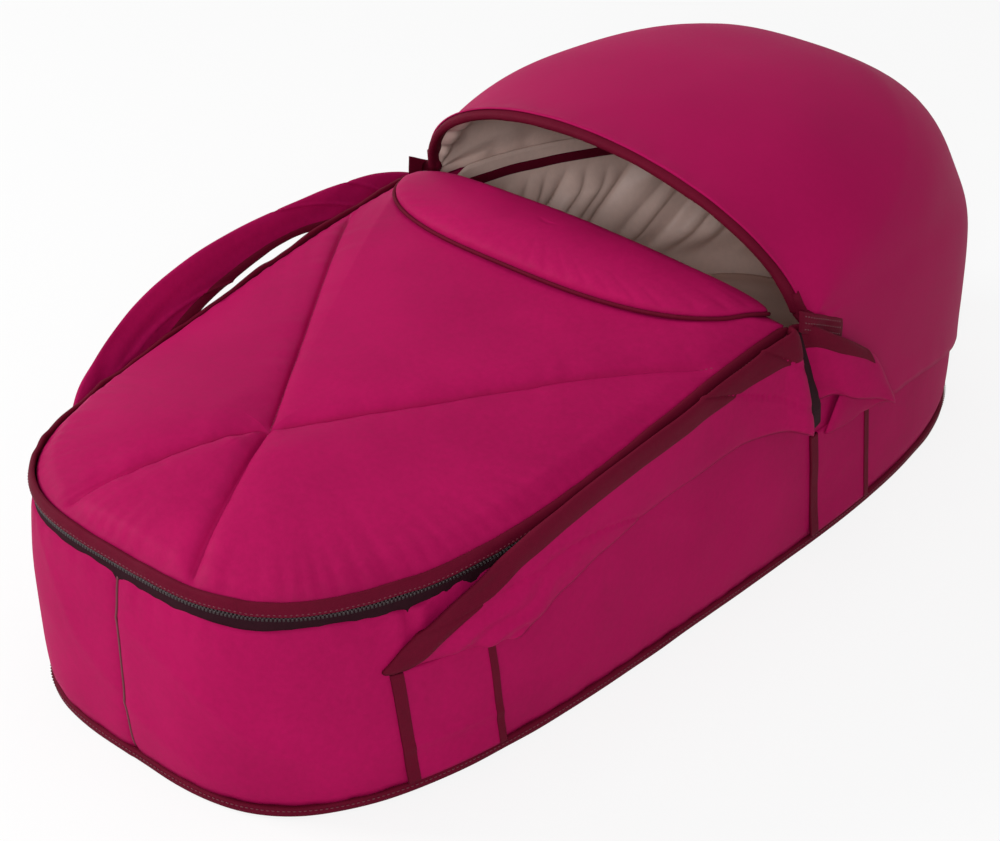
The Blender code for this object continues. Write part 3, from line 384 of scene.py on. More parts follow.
def cloth(
    name, colour, rough=0.66, sheen=0.02, specular=0.05, thread=0.0008, weave=0.12,
    crease=0.35, crease_size=26.0, vary=0.1, coords="UV",
):
    """Woven cloth: threads in two directions, uneven dye, soft creases and a little sheen."""
    made, tree, shader = new_material(name)
    link = tree.links.new
    place_of = add(tree, "ShaderNodeTexCoord")
    at = place_of.outputs["Object"]
    slub = mottle(tree, at, Scale=240.0, Detail=2.0, Roughness=0.6)
    dye = add(tree, "ShaderNodeMix", set_data_type="FLOAT", Factor=0.35)
    link(mottle(tree, at, Scale=9.0, Detail=3.0, Roughness=0.55), dye.inputs["A"])
    link(slub, dye.inputs["B"])
    link(two_shades(tree, dye.outputs["Result"], colour, vary, 0.36, 0.64), shader.inputs["Base Color"])
    link(spread(tree, slub, rough - 0.05, rough + 0.07), shader.inputs["Roughness"])
    shader.inputs["Sheen Weight"].default_value = sheen
    shader.inputs["Sheen Roughness"].default_value = 0.45
    shader.inputs["Sheen Tint"].default_value = shade(colour, 1.6)
    shader.inputs["Specular IOR Level"].default_value = specular
    creases = mottle(tree, at, Scale=crease_size, Detail=4.0, Roughness=0.55, Distortion=0.5)
    woven = add(tree, "ShaderNodeMath", set_operation="MAXIMUM")
    for i, way in enumerate("XY"):
        wave = add(tree, "ShaderNodeTexWave", Scale=0.314 / thread, Distortion=0.6, Detail_Scale=2.0)
        wave.wave_type, wave.bands_direction = "BANDS", way
        link(place_of.outputs[coords], wave.inputs["Vector"])
        link(wave.outputs["Fac"], woven.inputs[i])
    soft = relief(tree, creases, crease, 0.0016)
    link(relief(tree, woven.outputs["Value"], weave, 0.0003, soft), shader.inputs["Normal"])
    return made


def solid(name, colour, rough, metallic=0.0, grain=300.0, depth=0.1, vary=0.08):
    """Metal, board or thread: uneven colour, fine grain and roughness that varies."""
    made, tree, shader = new_material(name)
    link = tree.links.new
    place_of = add(tree, "ShaderNodeTexCoord")
    fine = mottle(tree, place_of.outputs["Object"], Scale=grain, Detail=3.0)
    link(two_shades(tree, fine, colour, vary), shader.inputs["Base Color"])
    link(spread(tree, fine, max(rough - 0.08, 0.05), rough + 0.08), shader.inputs["Roughness"])
    link(relief(tree, fine, depth, 0.0002), shader.inputs["Normal"])
    shader.inputs["Metallic"].default_value = metallic
    return made


CRIMSON = (0.345, 0.004, 0.074, 1.0)
TRIM = (0.105, 0.003, 0.016, 1.0)
LINING = (0.7, 0.52, 0.46, 1.0)
DARK_THREAD = (0.105, 0.005, 0.018, 1.0)
BRIGHT_THREAD = (0.24, 0.007, 0.055, 1.0)
ZIP_TAPE_AND_FOLD_SHADOW = (0.022, 0.005, 0.009, 1.0)
ZIP_COIL = (0.014, 0.004, 0.006, 1.0)
STEEL = (0.52, 0.51, 0.5, 1.0)
BOARD = (0.3, 0.27, 0.24, 1.0)

crimson = cloth("crimson_cloth", CRIMSON)
quilted = cloth("quilted_cloth", CRIMSON, rough=0.58, crease=0.3)
hood_cloth = cloth("hood_cloth", CRIMSON, rough=0.6, crease=0.16, crease_size=14.0, vary=0.05)
trim = cloth("dark_trim", TRIM, thread=0.0011, weave=0.35, crease=0.3, crease_size=70.0)
satin_look = dict(rough=0.42, sheen=0.05, specular=0.35, thread=0.0006, weave=0.06, vary=0.06)
satin = cloth("lining_satin", LINING, crease=0.28, crease_size=30.0, **satin_look)
ticking = cloth("mattress_cloth", LINING, rough=0.8, thread=0.0014, weave=0.3, vary=0.03)
thread = solid("seam_thread", DARK_THREAD, 0.6, grain=900.0)
crimson_thread = solid("crimson_thread", BRIGHT_THREAD, 0.55, grain=900.0)
# Near-black cloth of the zip tapes; the same cloth also paints the shadow in the near strap's deep fold
zip_and_fold_shadow_cloth = cloth("zip_tape", ZIP_TAPE_AND_FOLD_SHADOW, rough=0.7, sheen=0.1, thread=0.0009, weave=0.4, vary=0.2)
coil = solid("zip_coil", ZIP_COIL, 0.5, grain=700.0)
steel = solid("brushed_steel", STEEL, 0.34, metallic=1.0, grain=500.0)
board = solid("stiff_board", BOARD, 0.8, grain=120.0, depth=0.3)
base_cloth = cloth("base_cloth", shade(CRIMSON, 0.7), rough=0.8, coords="Object", weave=0.3)


# Outer wall: padded cloth, pinched along the zip and at the foot seam
WALL_LOW, HALF_GAP = 0.0072, 0.00012
HEM_ROLL, WALL_INNER = 0.0022, 0.0098
PUFF_OPEN, PUFF_COVERED = 0.003, 0.0012
ZIP_PUCKER, BUNCH_PUCKER, LONG_PUCKER = 0.0018, 0.0038, 0.0044
BUNCH_Y, BUNCH_REACH = -0.3, 0.05
SLACK_DEPTH, ZIP_PINCH, BASE_PINCH, SEAM_PINCH = 0.002, 0.0034, 0.0024, 0.0021
SAG_Y, SAG_DEPTH, SAG_WAVE = -0.235, 0.0058, 0.0034


def free_share(y):
    """One where the wall stands open to view, falling to nothing under the hood's skirt."""
    return 1 - smooth((y - 0.035) / 0.075)


def wall_out(run, z):
    """How far the wall's cloth stands out from the outline."""
    y = y_at(run)
    top = rim(y)
    drop = top - z
    up = np.clip((z - WALL_LOW) / (top - WALL_LOW), 0, 1)
    free = free_share(y)
    folded = np.minimum(run % TOTAL, TOTAL - run % TOTAL)
    out = mix(PUFF_COVERED, PUFF_OPEN, free) * np.sin(PI * up) ** 0.8
    out = out + free * 0.0011 * noise(run / 0.085, z / 0.06, 1)
    out = out + free * 0.0006 * noise(run / 0.034, z / 0.048, 2)
    # Puckers under the zip, bunched where the wall turns into the foot
    near_zip = fade(drop, 0.012)
    bunch = np.exp(-(((folded - run_at(BUNCH_Y)) / BUNCH_REACH) ** 2))
    gather = gathers(run / 0.017, 4)
    out = out + free * (ZIP_PUCKER + BUNCH_PUCKER * bunch) * near_zip * (gather - 0.4)
    long_gather = gathers(run / 0.023, 6)
    out = out + free * bunch * LONG_PUCKER * fade(drop, 0.034) * (long_gather - 0.3)
    slack = noise(run / 0.12 + 0.5 * z / 0.05, z / 0.085, 7)
    out = out + free * SLACK_DEPTH * fade(np.abs(slack), 0.1) * np.sin(PI * up)
    out = out - ZIP_PINCH * fade(drop, 0.0045)
    low = fade(z - WALL_LOW, 0.006)
    out = out - BASE_PINCH * low + 0.001 * free * low * gathers(run / 0.027, 8)
    seam = fade(folded, 0.0042)
    beside = fade(folded, 0.012) * noise(z / 0.011, seed=9) * (1 - seam)
    return out - SEAM_PINCH * seam + 0.0007 * beside


def make_wall(name, start, end):
    count = 300
    runs = np.linspace(start, end, count)
    fine = start + (end - start) * smooth(np.linspace(0, 1, count))
    runs = 0.6 * runs + 0.4 * fine
    y = y_at(runs)
    sag = smooth((SAG_Y - y) / 0.075) * (SAG_DEPTH + SAG_WAVE * noise(runs / 0.06, seed=5))
    top = rim(y) - sag + 0.0009 * noise(runs / 0.013, seed=3) * free_share(y)
    share = np.concatenate([np.linspace(0, 0.8, 20)[:-1], 0.8 + 0.2 * np.linspace(0, 1, 16) ** 0.8])
    z = mix(WALL_LOW, top[:, None] - HEM_ROLL, share[None, :])
    out = wall_out(runs[:, None], z)
    roll = np.linspace(0.35, PI, 7)[None, :]
    deep = (out[:, -1:] + WALL_INNER) / 2
    over = out[:, -1:] - deep + deep * np.cos(roll)
    over_z = z[:, -1:] + 0.003 * np.sin(roll)
    inner = np.broadcast_to(over[:, -1:], (count, 4))
    inner_z = mix(over_z[:, -1:], WALL_LOW, np.linspace(0, 1, 5)[None, 1:])
    outs = np.concatenate([out, over, inner], 1)
    zs = np.concatenate([z, over_z, inner_z], 1)
    return bar(name, place(runs[:, None], outs, zs), crimson)


wall_right = make_wall("wall_cloth_right", HALF_GAP, TOTAL / 2 - HALF_GAP)
wall_left = make_wall("wall_cloth_left", TOTAL / 2 + HALF_GAP, TOTAL - HALF_GAP)
dress(wall_right, "crimson_fabric", "tub", "wall_panel_right", "wall_foam")
dress(wall_left, "crimson_fabric", "tub", "wall_panel_left")

seam_z = np.linspace(WALL_LOW + 0.002, FOOT_RIM - 0.006, 80)
seam_path = place(np.zeros(80), wall_out(np.zeros(80), seam_z) + 0.0004, seam_z)
foot_seam = tube("foot_seam_cord", seam_path, (0.0009, 0.0006), thread, up=(0, -1, 0), sides=8)
dress(foot_seam, "dark_red_trim", "tub")


# Binding round the base
BASE_HALF_OUT, BASE_HALF_HIGH, BASE_MIDDLE = 0.0032, 0.0036, 0.0038


def make_base_binding():
    runs = np.linspace(0, TOTAL, 700, endpoint=False)
    wave = 0.0005 * noise(runs / 0.03, seed=21)
    across, high = section(14, 0.6)
    out = -0.0028 + BASE_HALF_OUT * across + wave[:, None]
    z = BASE_MIDDLE + BASE_HALF_HIGH * high
    ripple = 0.0004 * noise(runs / 0.012, seed=22)
    points = place(runs[:, None], out, z + ripple[:, None] * (z > 0.003))
    return grid("base_binding", points, trim, wrap_rows=True, wrap_cols=True)


dress(make_base_binding(), "dark_red_trim", "tub", "base_piping")
runs = np.linspace(0, TOTAL, 900)
base_stitch = stitches("base_stitching", place(runs, 0.00055, 0.0054), outward(runs), thread)
dress(base_stitch, "dark_red_trim", "tub")


# Zip: tapes behind the gap and two rows of small teeth
TAPE_OUT, TAPE_HALF, TAPE_LOW, TAPE_HIGH = -0.0022, 0.0006, -0.015, 0.0085
ZIP_END, MEET = run_at(0.02), 0.004
TOOTH_PITCH, TOOTH_HALF = 0.0026, (0.00075, 0.0007, 0.0011)


def make_tape(name, low, high):
    runs = np.linspace(-ZIP_END, ZIP_END, 360)
    base = rim(y_at(runs))[:, None]
    across, up = section(10, 0.5)
    z = base + (low + high) / 2 + (high - low) / 2 * up
    points = place(runs[:, None], TAPE_OUT + TAPE_HALF * across, z)
    return bar(name, points, zip_and_fold_shadow_cloth)


def make_teeth(name, centre, phase):
    at = np.arange(-ZIP_END + 0.004 + phase, ZIP_END - 0.004, TOOTH_PITCH)
    z = rim(y_at(at)) + centre
    box = [(a, b, c) for a in (-1, 1) for b in (-1, 1) for c in (-1, 1)]
    order = [(0, 1, 3, 2), (4, 6, 7, 5), (0, 4, 5, 1), (2, 3, 7, 6), (0, 2, 6, 4), (1, 5, 7, 3)]
    long, deep, high = TOOTH_HALF
    verts = [place(at + a * long, TAPE_OUT + 0.0008 + b * deep, z + c * high) for a, b, c in box]
    faces = [tuple(8 * i + k for k in quad) for i in range(len(at)) for quad in order]
    return build(name, np.stack(verts, 1).reshape(-1, 3), faces, coil)


for body, low, high, teeth_at, phase in (
    ("tub", TAPE_LOW, MEET - 0.0002, MEET - 0.001, 0.0),
    ("cover", MEET + 0.0002, TAPE_HIGH, MEET + 0.001, TOOTH_PITCH / 2),
):
    dress(make_tape("zip_tape_" + body, low, high), "zip_dark", body, "zip_" + body)
    dress(make_teeth("zip_teeth_" + body, teeth_at, phase), "zip_dark", body)


# Quilted cover
COVER_INSET, COVER_STEP, COVER_CROWN = 0.0052, 0.0022, 0.03
PILLOW, CHANNEL, CHANNEL_LINE = 0.0056, 0.0036, 0.0018
COVER_DEEP, COVER_EDGE_DEEP = 0.011, 0.0048
CENTRE = np.array([0.0, QUILT_Y])
COVER_END = float(run_at(COVER_HEAD_Y))


def closed_at_head(around, half, count):
    """Outline closed by the straight edge at the cover's head, from half to -half."""
    x = np.linspace(half, -half, count)[1:-1]
    return np.concatenate([around, np.stack([x, np.full_like(x, COVER_HEAD_Y)], -1)])


around = place(np.linspace(-COVER_END, COVER_END, 420), -COVER_INSET, 0.0)[:, :2]
COVER_EDGE = closed_at_head(around, float(side_x(COVER_HEAD_Y)) - COVER_INSET, 92)
spoke = COVER_EDGE - CENTRE
spoke_turn = np.arctan2(spoke[:, 1], spoke[:, 0])
order = np.argsort(spoke_turn)
EDGE_TURN, EDGE_REACH = spoke_turn[order], np.hypot(spoke[:, 0], spoke[:, 1])[order]
foot_half = HALF_COUNT // 2
SEAM_RUNS = (np.interp(QUILT_FOOT_SEAM_X, OX[:foot_half], RUN[:foot_half]), run_at(QUILT_HEAD_SEAM_Y))
seam_ends = [place(np.array([r, -r]), -COVER_INSET, 0.0)[:, :2] for r in SEAM_RUNS]
seam_ends = np.concatenate(seam_ends) - CENTRE
SEAM_TURNS = np.sort(np.arctan2(seam_ends[:, 1], seam_ends[:, 0]))


def polar(x, y):
    """Reach and turn of a point about the quilt's centre, and the cover's reach in that direction."""
    dx, dy = x - CENTRE[0], y - CENTRE[1]
    turn = np.arctan2(dy, dx)
    return np.hypot(dx, dy), turn, np.interp(turn, EDGE_TURN, EDGE_REACH, period=2 * PI)


def cover_crown(x, y, share):
    half = side_x(np.minimum(y, COVER_HEAD_Y)) - COVER_INSET
    across = np.clip(np.abs(x) / np.maximum(half, 1e-6), 0, 1)
    arch = 0.009 * smooth((y - COVER_HEAD_Y) / 0.18 + 1)
    base = rim(y) + COVER_LIFT + arch * (1 - across * across)
    return base + COVER_STEP + COVER_CROWN * (1 - share * share) ** 0.8


def seam_place(turn):
    """How far a direction lies through its quilted panel, the angle to the nearest seam, the panel."""
    t = (turn - SEAM_TURNS[0]) % (2 * PI)
    marks = np.concatenate([SEAM_TURNS - SEAM_TURNS[0], [2 * PI]])
    i = np.clip(np.searchsorted(marks, t, side="right") - 1, 0, 3)
    low, high = marks[i], marks[i + 1]
    return (t - low) / (high - low), np.minimum(t - low, high - t), i


def cover_height(x, y, detail=1.0):
    """Upper face of the cover: crown, pillows, sewn channels and puckers."""
    reach, turn, full = polar(x, y)
    share = np.clip(reach / full, 0, 1)
    through, away, panel = seam_place(turn)
    inner = smooth((1 - share) * 12)
    off_seam = away * reach
    z = cover_crown(x, y, share)
    z = z + PILLOW * np.sin(PI * np.clip(through, 0, 1)) ** 0.6 * smooth(share * 4) * inner
    z = z - CHANNEL * fade(off_seam, 0.0042) * inner
    z = z - CHANNEL_LINE * np.exp(-((off_seam / 0.0013) ** 2)) * inner
    pinch = fade(off_seam, 0.013) * (1 - fade(off_seam, 0.003))
    z = z + detail * 0.0015 * pinch * noise(reach / 0.009, panel * 3.0 + (through > 0.5), 31)
    loose = 0.0017 * noise(x / 0.1, y / 0.12, 32) + 0.0005 * noise(x / 0.032, y / 0.036, 33)
    z = z + detail * inner * loose
    # Short and long puckers along the zipped edge
    zipped = smooth((COVER_HEAD_Y + 0.01 - y) / 0.03)
    around, in_from_edge = full * turn, (1 - share) * full
    z = z + detail * zipped * 0.0026 * puckers(around, 0.014, 34, in_from_edge, 0.013, 0.0022)
    return z + detail * zipped * 0.0018 * puckers(around, 0.041, 35, in_from_edge, 0.034, 0.008)


def plain_cover(x, y):
    return cover_height(x, y, 0.0)


def cover_under(x, y):
    reach, _, full = polar(x, y)
    share = np.clip(reach / full, 0, 1)
    return cover_crown(x, y, share) - mix(COVER_DEEP, COVER_EDGE_DEEP, share**4)


def lifted(flat, height, lift=0.0):
    """Points of the plan raised to a height that depends on them."""
    return np.column_stack([flat, height(flat[:, 0], flat[:, 1]) + lift])


def rings_over(edge, centre, shares, height):
    return [lifted(centre + (edge - centre) * s, height) for s in shares]


def make_cover():
    shares = np.clip(np.linspace(1.0, 0.0, 64)[:-1] ** 0.85, 0.012, 1.0)
    under_shares = (0.997, 0.98, 0.94, 0.85, 0.7, 0.5, 0.3, 0.12)
    tops = rings_over(COVER_EDGE, CENTRE, shares, cover_height)
    unders = rings_over(COVER_EDGE, CENTRE, under_shares, cover_under)
    up, down = (lifted(CENTRE[None, :], height)[0] for height in (cover_height, cover_under))
    made = pad("cover_quilt", tops[::-1] + unders, up, down, quilted)
    gap, deep = np.array([0, 0, 0.0012]), np.array([0, 0, 0.0022])
    rings = [r - gap for r in unders[:0:-1]] + [r - deep for r in unders[1:]]
    return made, pad("cover_underside", rings, down - gap, down - deep, satin)


cover, cover_lining = make_cover()
dress(cover, "crimson_fabric", "cover", "cover")
dress(cover_lining, "beige_lining", "cover", "cover_lining")

for i, seam_end in enumerate(seam_ends):
    flat = CENTRE + seam_end * np.linspace(0.01, 0.985, 160)[:, None]
    path, above = lifted(flat, cover_height, 0.0001), np.tile([0.0, 0.0, 1.0], (160, 1))
    dress(stitches(f"quilt_stitching_{i}", path, above, crimson_thread), "crimson_fabric", "cover")


# Binding tape round the cover's zipped edge
BINDING_HALF_OUT, BINDING_HALF_HIGH, BINDING_MIDDLE = 0.0021, 0.0045, 0.0101


def binding_wave(runs):
    return 0.0011 * noise(runs / 0.027, seed=41) + 0.0006 * noise(runs / 0.011, seed=42)


def make_binding():
    runs = np.linspace(-COVER_END, COVER_END, 620)
    y = y_at(runs)
    taper = np.minimum(1, (COVER_END - np.abs(runs)) / 0.012 + 0.35)[:, None]
    wave = binding_wave(runs)
    lean = 0.0011 * section(18)[1]
    out = -0.0018 + (BINDING_HALF_OUT * section(18, 0.8)[0] - lean) * taper + 0.5 * wave[:, None]
    middle = (rim(y) + BINDING_MIDDLE + wave)[:, None]
    z = middle + BINDING_HALF_HIGH * section(18, 0.75)[1] * taper
    return bar("cover_edge_binding", place(runs[:, None], out, z), trim)


dress(make_binding(), "dark_red_trim", "cover", "cover_binding")
runs = np.linspace(-COVER_END + 0.004, COVER_END - 0.004, 900)
wave = binding_wave(runs)
path = place(runs, 0.0004 + 0.5 * wave, rim(y_at(runs)) + 0.0078 + wave)
dress(stitches("binding_stitching", path, outward(runs), thread), "dark_red_trim", "cover")


# Puffed flap, turned down over the cover's head edge
FLAP_PUFF, FLAP_STEP, FLAP_INSET = 0.0112, 0.0052, 0.0032
FLAP_CENTRE = np.array([0.0, COVER_HEAD_Y - FLAP_DEPTH / 2])
FLAP_UNDER = ((0.998, 0.003), (0.985, 0.0016), (0.95, 0.0013), (0.8, 0.0013), (0.5, 0.0013), (0.2, 0.0013))


def flap_outline(inset, count):
    turn = np.linspace(0, PI, count)
    x = -(FLAP_HALF - inset) * power(np.cos(turn), 2 / FLAP_ROUND)
    y = COVER_HEAD_Y - (FLAP_DEPTH - inset) * power(np.sin(turn), 2 / FLAP_ROUND)
    return np.stack([x, y], -1)


def make_flap():
    edge = closed_at_head(flap_outline(FLAP_INSET, 240), FLAP_HALF - FLAP_INSET, 100)
    around = travelled(edge)
    tops = []
    for s in (1 - np.linspace(0, 1, 34)[:-1] ** 1.3)[::-1]:
        flat = FLAP_CENTRE + (edge - FLAP_CENTRE) * s
        x, y = flat[:, 0], flat[:, 1]
        z = plain_cover(x, y) + FLAP_STEP + FLAP_PUFF * (1 - s**3) ** 0.5
        soft = 0.0016 * noise(x / 0.07, y / 0.045, 51) + 0.0005 * noise(x / 0.022, y / 0.02, 52)
        to_edge = (1 - s) * np.linalg.norm(edge - FLAP_CENTRE, axis=1)
        z = z + (1 - s**2) * soft + 0.0017 * puckers(around, 0.018, 53, to_edge, 0.01, 0.002)
        tops.append(np.column_stack([flat, z]))
    unders = [lifted(FLAP_CENTRE + (edge - FLAP_CENTRE) * s, plain_cover, lift) for s, lift in FLAP_UNDER]
    centre = FLAP_CENTRE[None, :]
    up, down = lifted(centre, plain_cover, FLAP_STEP + FLAP_PUFF)[0], lifted(centre, plain_cover, 0.0013)[0]
    return pad("flap_puff", tops + unders, up, down, quilted)


flap = make_flap()
dress(flap, "crimson_fabric", "flap", "cover_flap")
piping_path = lifted(flap_outline(0.002, 260), plain_cover, 0.0028)
dress(tube("flap_edge_piping", piping_path, (0.0014, 0.0015), trim), "dark_red_trim", "flap", "flap_piping")


# Hood: one continuous cloth from the bow to the hem, and a satin lining inside it
HOOD_HIGH, LAYER, SKIRT = HOOD_TOP - PIVOT_Z, 0.0033, 0.0049
HOOD_COLUMNS, DOME_ROWS, SKIRT_ROWS = 150, 74, 30
LINING_COLUMNS, LINING_DOME_ROWS, LINING_SKIRT_ROWS = 130, 66, 16
HEM_PIVOT, HEM_SIDE, HEM_HEAD = 0.189, 0.086, 0.052
LINING_NEAR, LINING_DEEP, LINING_EDGE_OUT, LINING_EDGE_UP = 0.0026, 0.0085, -0.0012, 0.0012
HOOD_MIDDLE = (0.0, 0.2, 0.15)


def hood_reach(turn):
    """Distance from the pivot to the dome's crown line, by halving, at a turn up from the head end."""
    if turn >= PI / 2:
        return HOOD_HIGH / math.sin(turn)
    near, far = 0.0, HOOD_BACK + HOOD_HIGH
    for _ in range(40):
        middle = (near + far) / 2
        back = middle * math.cos(turn) / HOOD_BACK
        up = (middle * math.sin(turn) + PIVOT_Z - HOOD_EQUATOR) / (HOOD_TOP - HOOD_EQUATOR)
        if back**HOOD_PROFILE + up**HOOD_PROFILE < 1:
            near = middle
        else:
            far = middle
    return near


def hood_inset(turn):
    return 2 * LAYER * smooth((turn - math.radians(30)) / (BOW_TURN - math.radians(30)))


def dome_row(turn, share, inset):
    n = mix(2.0, HOOD_FOOT_ROUND, smooth((BOW_TURN - turn) / BOW_TURN))
    reach = hood_reach(turn) - inset
    start = np.arcsin((CLOTH_EYE / reach) ** (n / 2))
    along = mix(start, PI - start, share)
    x = -(HOOD_HALF - inset) * power(np.cos(along), 2 / n)
    far = reach * power(np.sin(along), 2 / n)
    return np.stack([x, PIVOT_Y + far * np.cos(turn), PIVOT_Z + far * np.sin(turn)], -1)


def hem_height(y):
    drop = smooth((y - PIVOT_Y - CLOTH_EYE) / 0.12)
    low = mix(HEM_SIDE, HEM_HEAD, smooth((y - PIVOT_Y - 0.12) / (LENGTH / 2 - PIVOT_Y - 0.12)))
    return mix(HEM_PIVOT, low, drop)


def lining_edge_height(y):
    return rim(y) + LINING_EDGE_UP


def hood_rows(extra, dome, fall, target_out, target_height, columns):
    """Points of the hood's cloth, extra below its outer face, as rows from the bow to the hem."""
    share = np.linspace(0, 1, columns)
    rows = [dome_row(t, share, hood_inset(t) + extra) for t in np.linspace(BOW_TURN, 0, dome)]
    top = rows[-1]
    start = run_at(PIVOT_Y + CLOTH_EYE)
    runs = mix(TOTAL - start, start, share)
    y = y_at(runs)
    goal = place(runs, target_out, target_height(y))
    settle = np.maximum(rim(y) + 0.006, goal[:, 2])
    flare = max(fall // 3, 4)
    for s in np.linspace(0, 1, flare + 1)[1:]:
        flat = mix(top[:, :2], goal[:, :2], 1 - (1 - s) ** 2)
        rows.append(np.column_stack([flat, mix(top[:, 2], settle, s)]))
    for s in np.linspace(0, 1, fall - flare + 1)[1:]:
        rows.append(np.column_stack([goal[:, :2], mix(settle, goal[:, 2], s)]))
    # Soften the bend between dome and skirt
    rows = np.array(rows)
    low, high = dome - dome // 5, dome + flare + fall // 5
    for _ in range(fall):
        rows[low:high] = (rows[low - 1 : high - 1] + 2 * rows[low:high] + rows[low + 1 : high + 1]) / 4
    return rows


def swell(points, amount):
    side = normals_of(points)
    if np.sum(side * (points - np.array(HOOD_MIDDLE))) < 0:
        side = -side
    return points + side * amount[..., None]


def make_hood():
    outer = hood_rows(0.0, DOME_ROWS, SKIRT_ROWS, SKIRT, hem_height, HOOD_COLUMNS)
    x, y, z = outer[..., 0], outer[..., 1], outer[..., 2]
    row = np.arange(len(outer))[:, None] / len(outer)
    off_side = 1 - np.abs(np.linspace(-1, 1, HOOD_COLUMNS)[None, :])
    inside = smooth(off_side * 9) * smooth(row * 22) * smooth((1 - row) * 14)
    soft = 0.0015 * noise(x / 0.115, (y + z) / 0.095, 61) + 0.0006 * noise(x / 0.045, (y - z) / 0.05, 62)
    arc = travelled(outer)
    tight = 0.001 * puckers(x + 0.0102 * noise(y / 0.02, seed=63), 0.034, 64, arc, 0.016, 0.003)
    to_hem = arc[-1:] - arc
    hem = 0.0008 * (gathers(np.linspace(0, 26, HOOD_COLUMNS)[None, :], 65) - 0.4) * fade(to_hem, 0.014)
    limit = smooth((to_hem - 0.002) / 0.02)
    outer = swell(outer, inside * soft * limit + tight * smooth(off_side * 6) + np.maximum(hem, 0))
    return shell("hood_canopy", outer, 0.0011, hood_cloth, (0, 0.2, 0.1))


hood = make_hood()
dress(hood, "crimson_fabric", None, "hood_front", "hood_middle", "hood_rear")
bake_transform(hood)


def make_hood_lining():
    size = (LINING_DOME_ROWS, LINING_SKIRT_ROWS, LINING_EDGE_OUT, lining_edge_height, LINING_COLUMNS)
    near, deep = hood_rows(LINING_NEAR, *size), hood_rows(LINING_DEEP, *size)
    share = np.linspace(0, 1, len(near))[:, None, None]
    rows = mix(near, deep, smooth(share / 0.16) * smooth((0.92 - share) / 0.2))
    inside = smooth((1 - np.abs(np.linspace(-1, 1, LINING_COLUMNS)[None, :])) * 8)
    arc, around = travelled(rows), travelled(rows, 1)
    gather = gathers(around / 0.024 + 0.8 * arc / 0.09, 71)
    front = -0.0062 * gather * fade(arc, 0.03) * (1 - fade(arc, 0.006))
    broad = -0.0028 * (0.5 + 0.5 * noise(around / 0.06, arc / 0.075, 72))
    rear = -0.003 * gathers(around / 0.036, 73) * fade(arc[-1:] - arc, 0.03)
    rows = swell(rows, inside * (front + broad * smooth(arc / 0.02) + rear))
    return shell("hood_lining_cloth", rows, 0.0007, satin, (0, 0.2, 0.1))


hood_lining = make_hood_lining()
dress(hood_lining, "beige_lining", None, "hood_front_lining", "hood_middle_lining", "hood_rear_lining")
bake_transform(hood_lining)


# Bound hoop round the bow
HOOP, HOOP_HALF_WIDE, HOOP_HALF_HIGH = 0.005, 0.0033, 0.006
BOW_INSET = 2 * LAYER + HOOP
BOW_HALF, BOW_REACH = HOOD_HALF - BOW_INSET, hood_reach(BOW_TURN) - BOW_INSET
BOW_TILT = np.array([0.0, math.cos(BOW_TURN), math.sin(BOW_TURN)])
BOW_NORMAL = np.array([0.0, -math.sin(BOW_TURN), math.cos(BOW_TURN)])


def bow_plane(x, reach):
    """Points in the bow's plane at x and a reach from the line through its pivots."""
    pivots = np.stack([x, np.full_like(x, PIVOT_Y), np.full_like(x, PIVOT_Z)], -1)
    return pivots + np.asarray(reach)[:, None] * BOW_TILT


def make_hoop():
    start = math.asin(0.0075 / BOW_REACH)
    turn = np.linspace(start, PI - start, 240)
    path = bow_plane(-BOW_HALF * np.cos(turn), BOW_REACH * np.sin(turn))
    fat = 1 + 0.08 * noise(travelled(path) / 0.02, seed=81)
    radii = (HOOP_HALF_WIDE * fat, HOOP_HALF_HIGH * fat)
    return tube("hoop_binding_tape", path, radii, trim, up=BOW_NORMAL, sides=16, squareness=0.6)


dress(make_hoop(), "dark_red_trim", "hood_front", "hood_hoop_binding")


# Gathered lining of the tub, fanned into folds at the head
LINING_OUT, LINING_BACK, LINING_FLOOR = -0.0112, -0.0102, 0.0064
LINING_TOP, LINING_RUNS = -0.001, 900
FINE_FOLD, STRONG_FOLD, BROAD_FOLD, FOLD_STEP, SIDE_FOLD = 0.0034, 0.0085, 0.011, 0.004, 0.002
RUFFLE, RUFFLE_GATHER, RUFFLE_REACH = 0.007, 0.0065, 0.01


def lining_fold(run, drop):
    """How far the lining's folds stand in from the wall, drop being the distance under the rim."""
    from_head = run - TOTAL / 2
    fan = from_head - 1.1 * drop * from_head / (np.abs(from_head) + 0.1)
    y = y_at(run)
    head, far = smooth((y - 0.075) / 0.09), smooth((y - 0.27) / 0.05)
    below = np.maximum(drop - 0.016 * (1 - far), 0)
    wander = 0.22 * noise(drop / 0.09, from_head / 0.15, 94)
    phase = (fan / 0.025 + wander + 0.42 * noise(fan / 0.042, seed=96)) % 1.0
    crest = np.abs(np.sin(PI * phase)) ** 0.9
    strong = STRONG_FOLD * (0.6 + 0.4 * noise(fan / 0.04, seed=98)) * crest
    broad = BROAD_FOLD * gathers(fan / 0.071 + 0.3, 92)
    upper = 1 - smooth((drop - 0.08) / 0.036)
    fine = FINE_FOLD * far * fade(below, 0.012) * gathers(fan / 0.0125, 91)
    depth = fine + (strong + broad) * smooth(below / 0.022) * upper
    step = FOLD_STEP * far * smooth(drop / 0.004) * upper
    side = SIDE_FOLD * (0.5 + 0.5 * noise(run / 0.055, drop / 0.07, 93)) * smooth(drop / 0.02)
    return head * (depth + step) + side


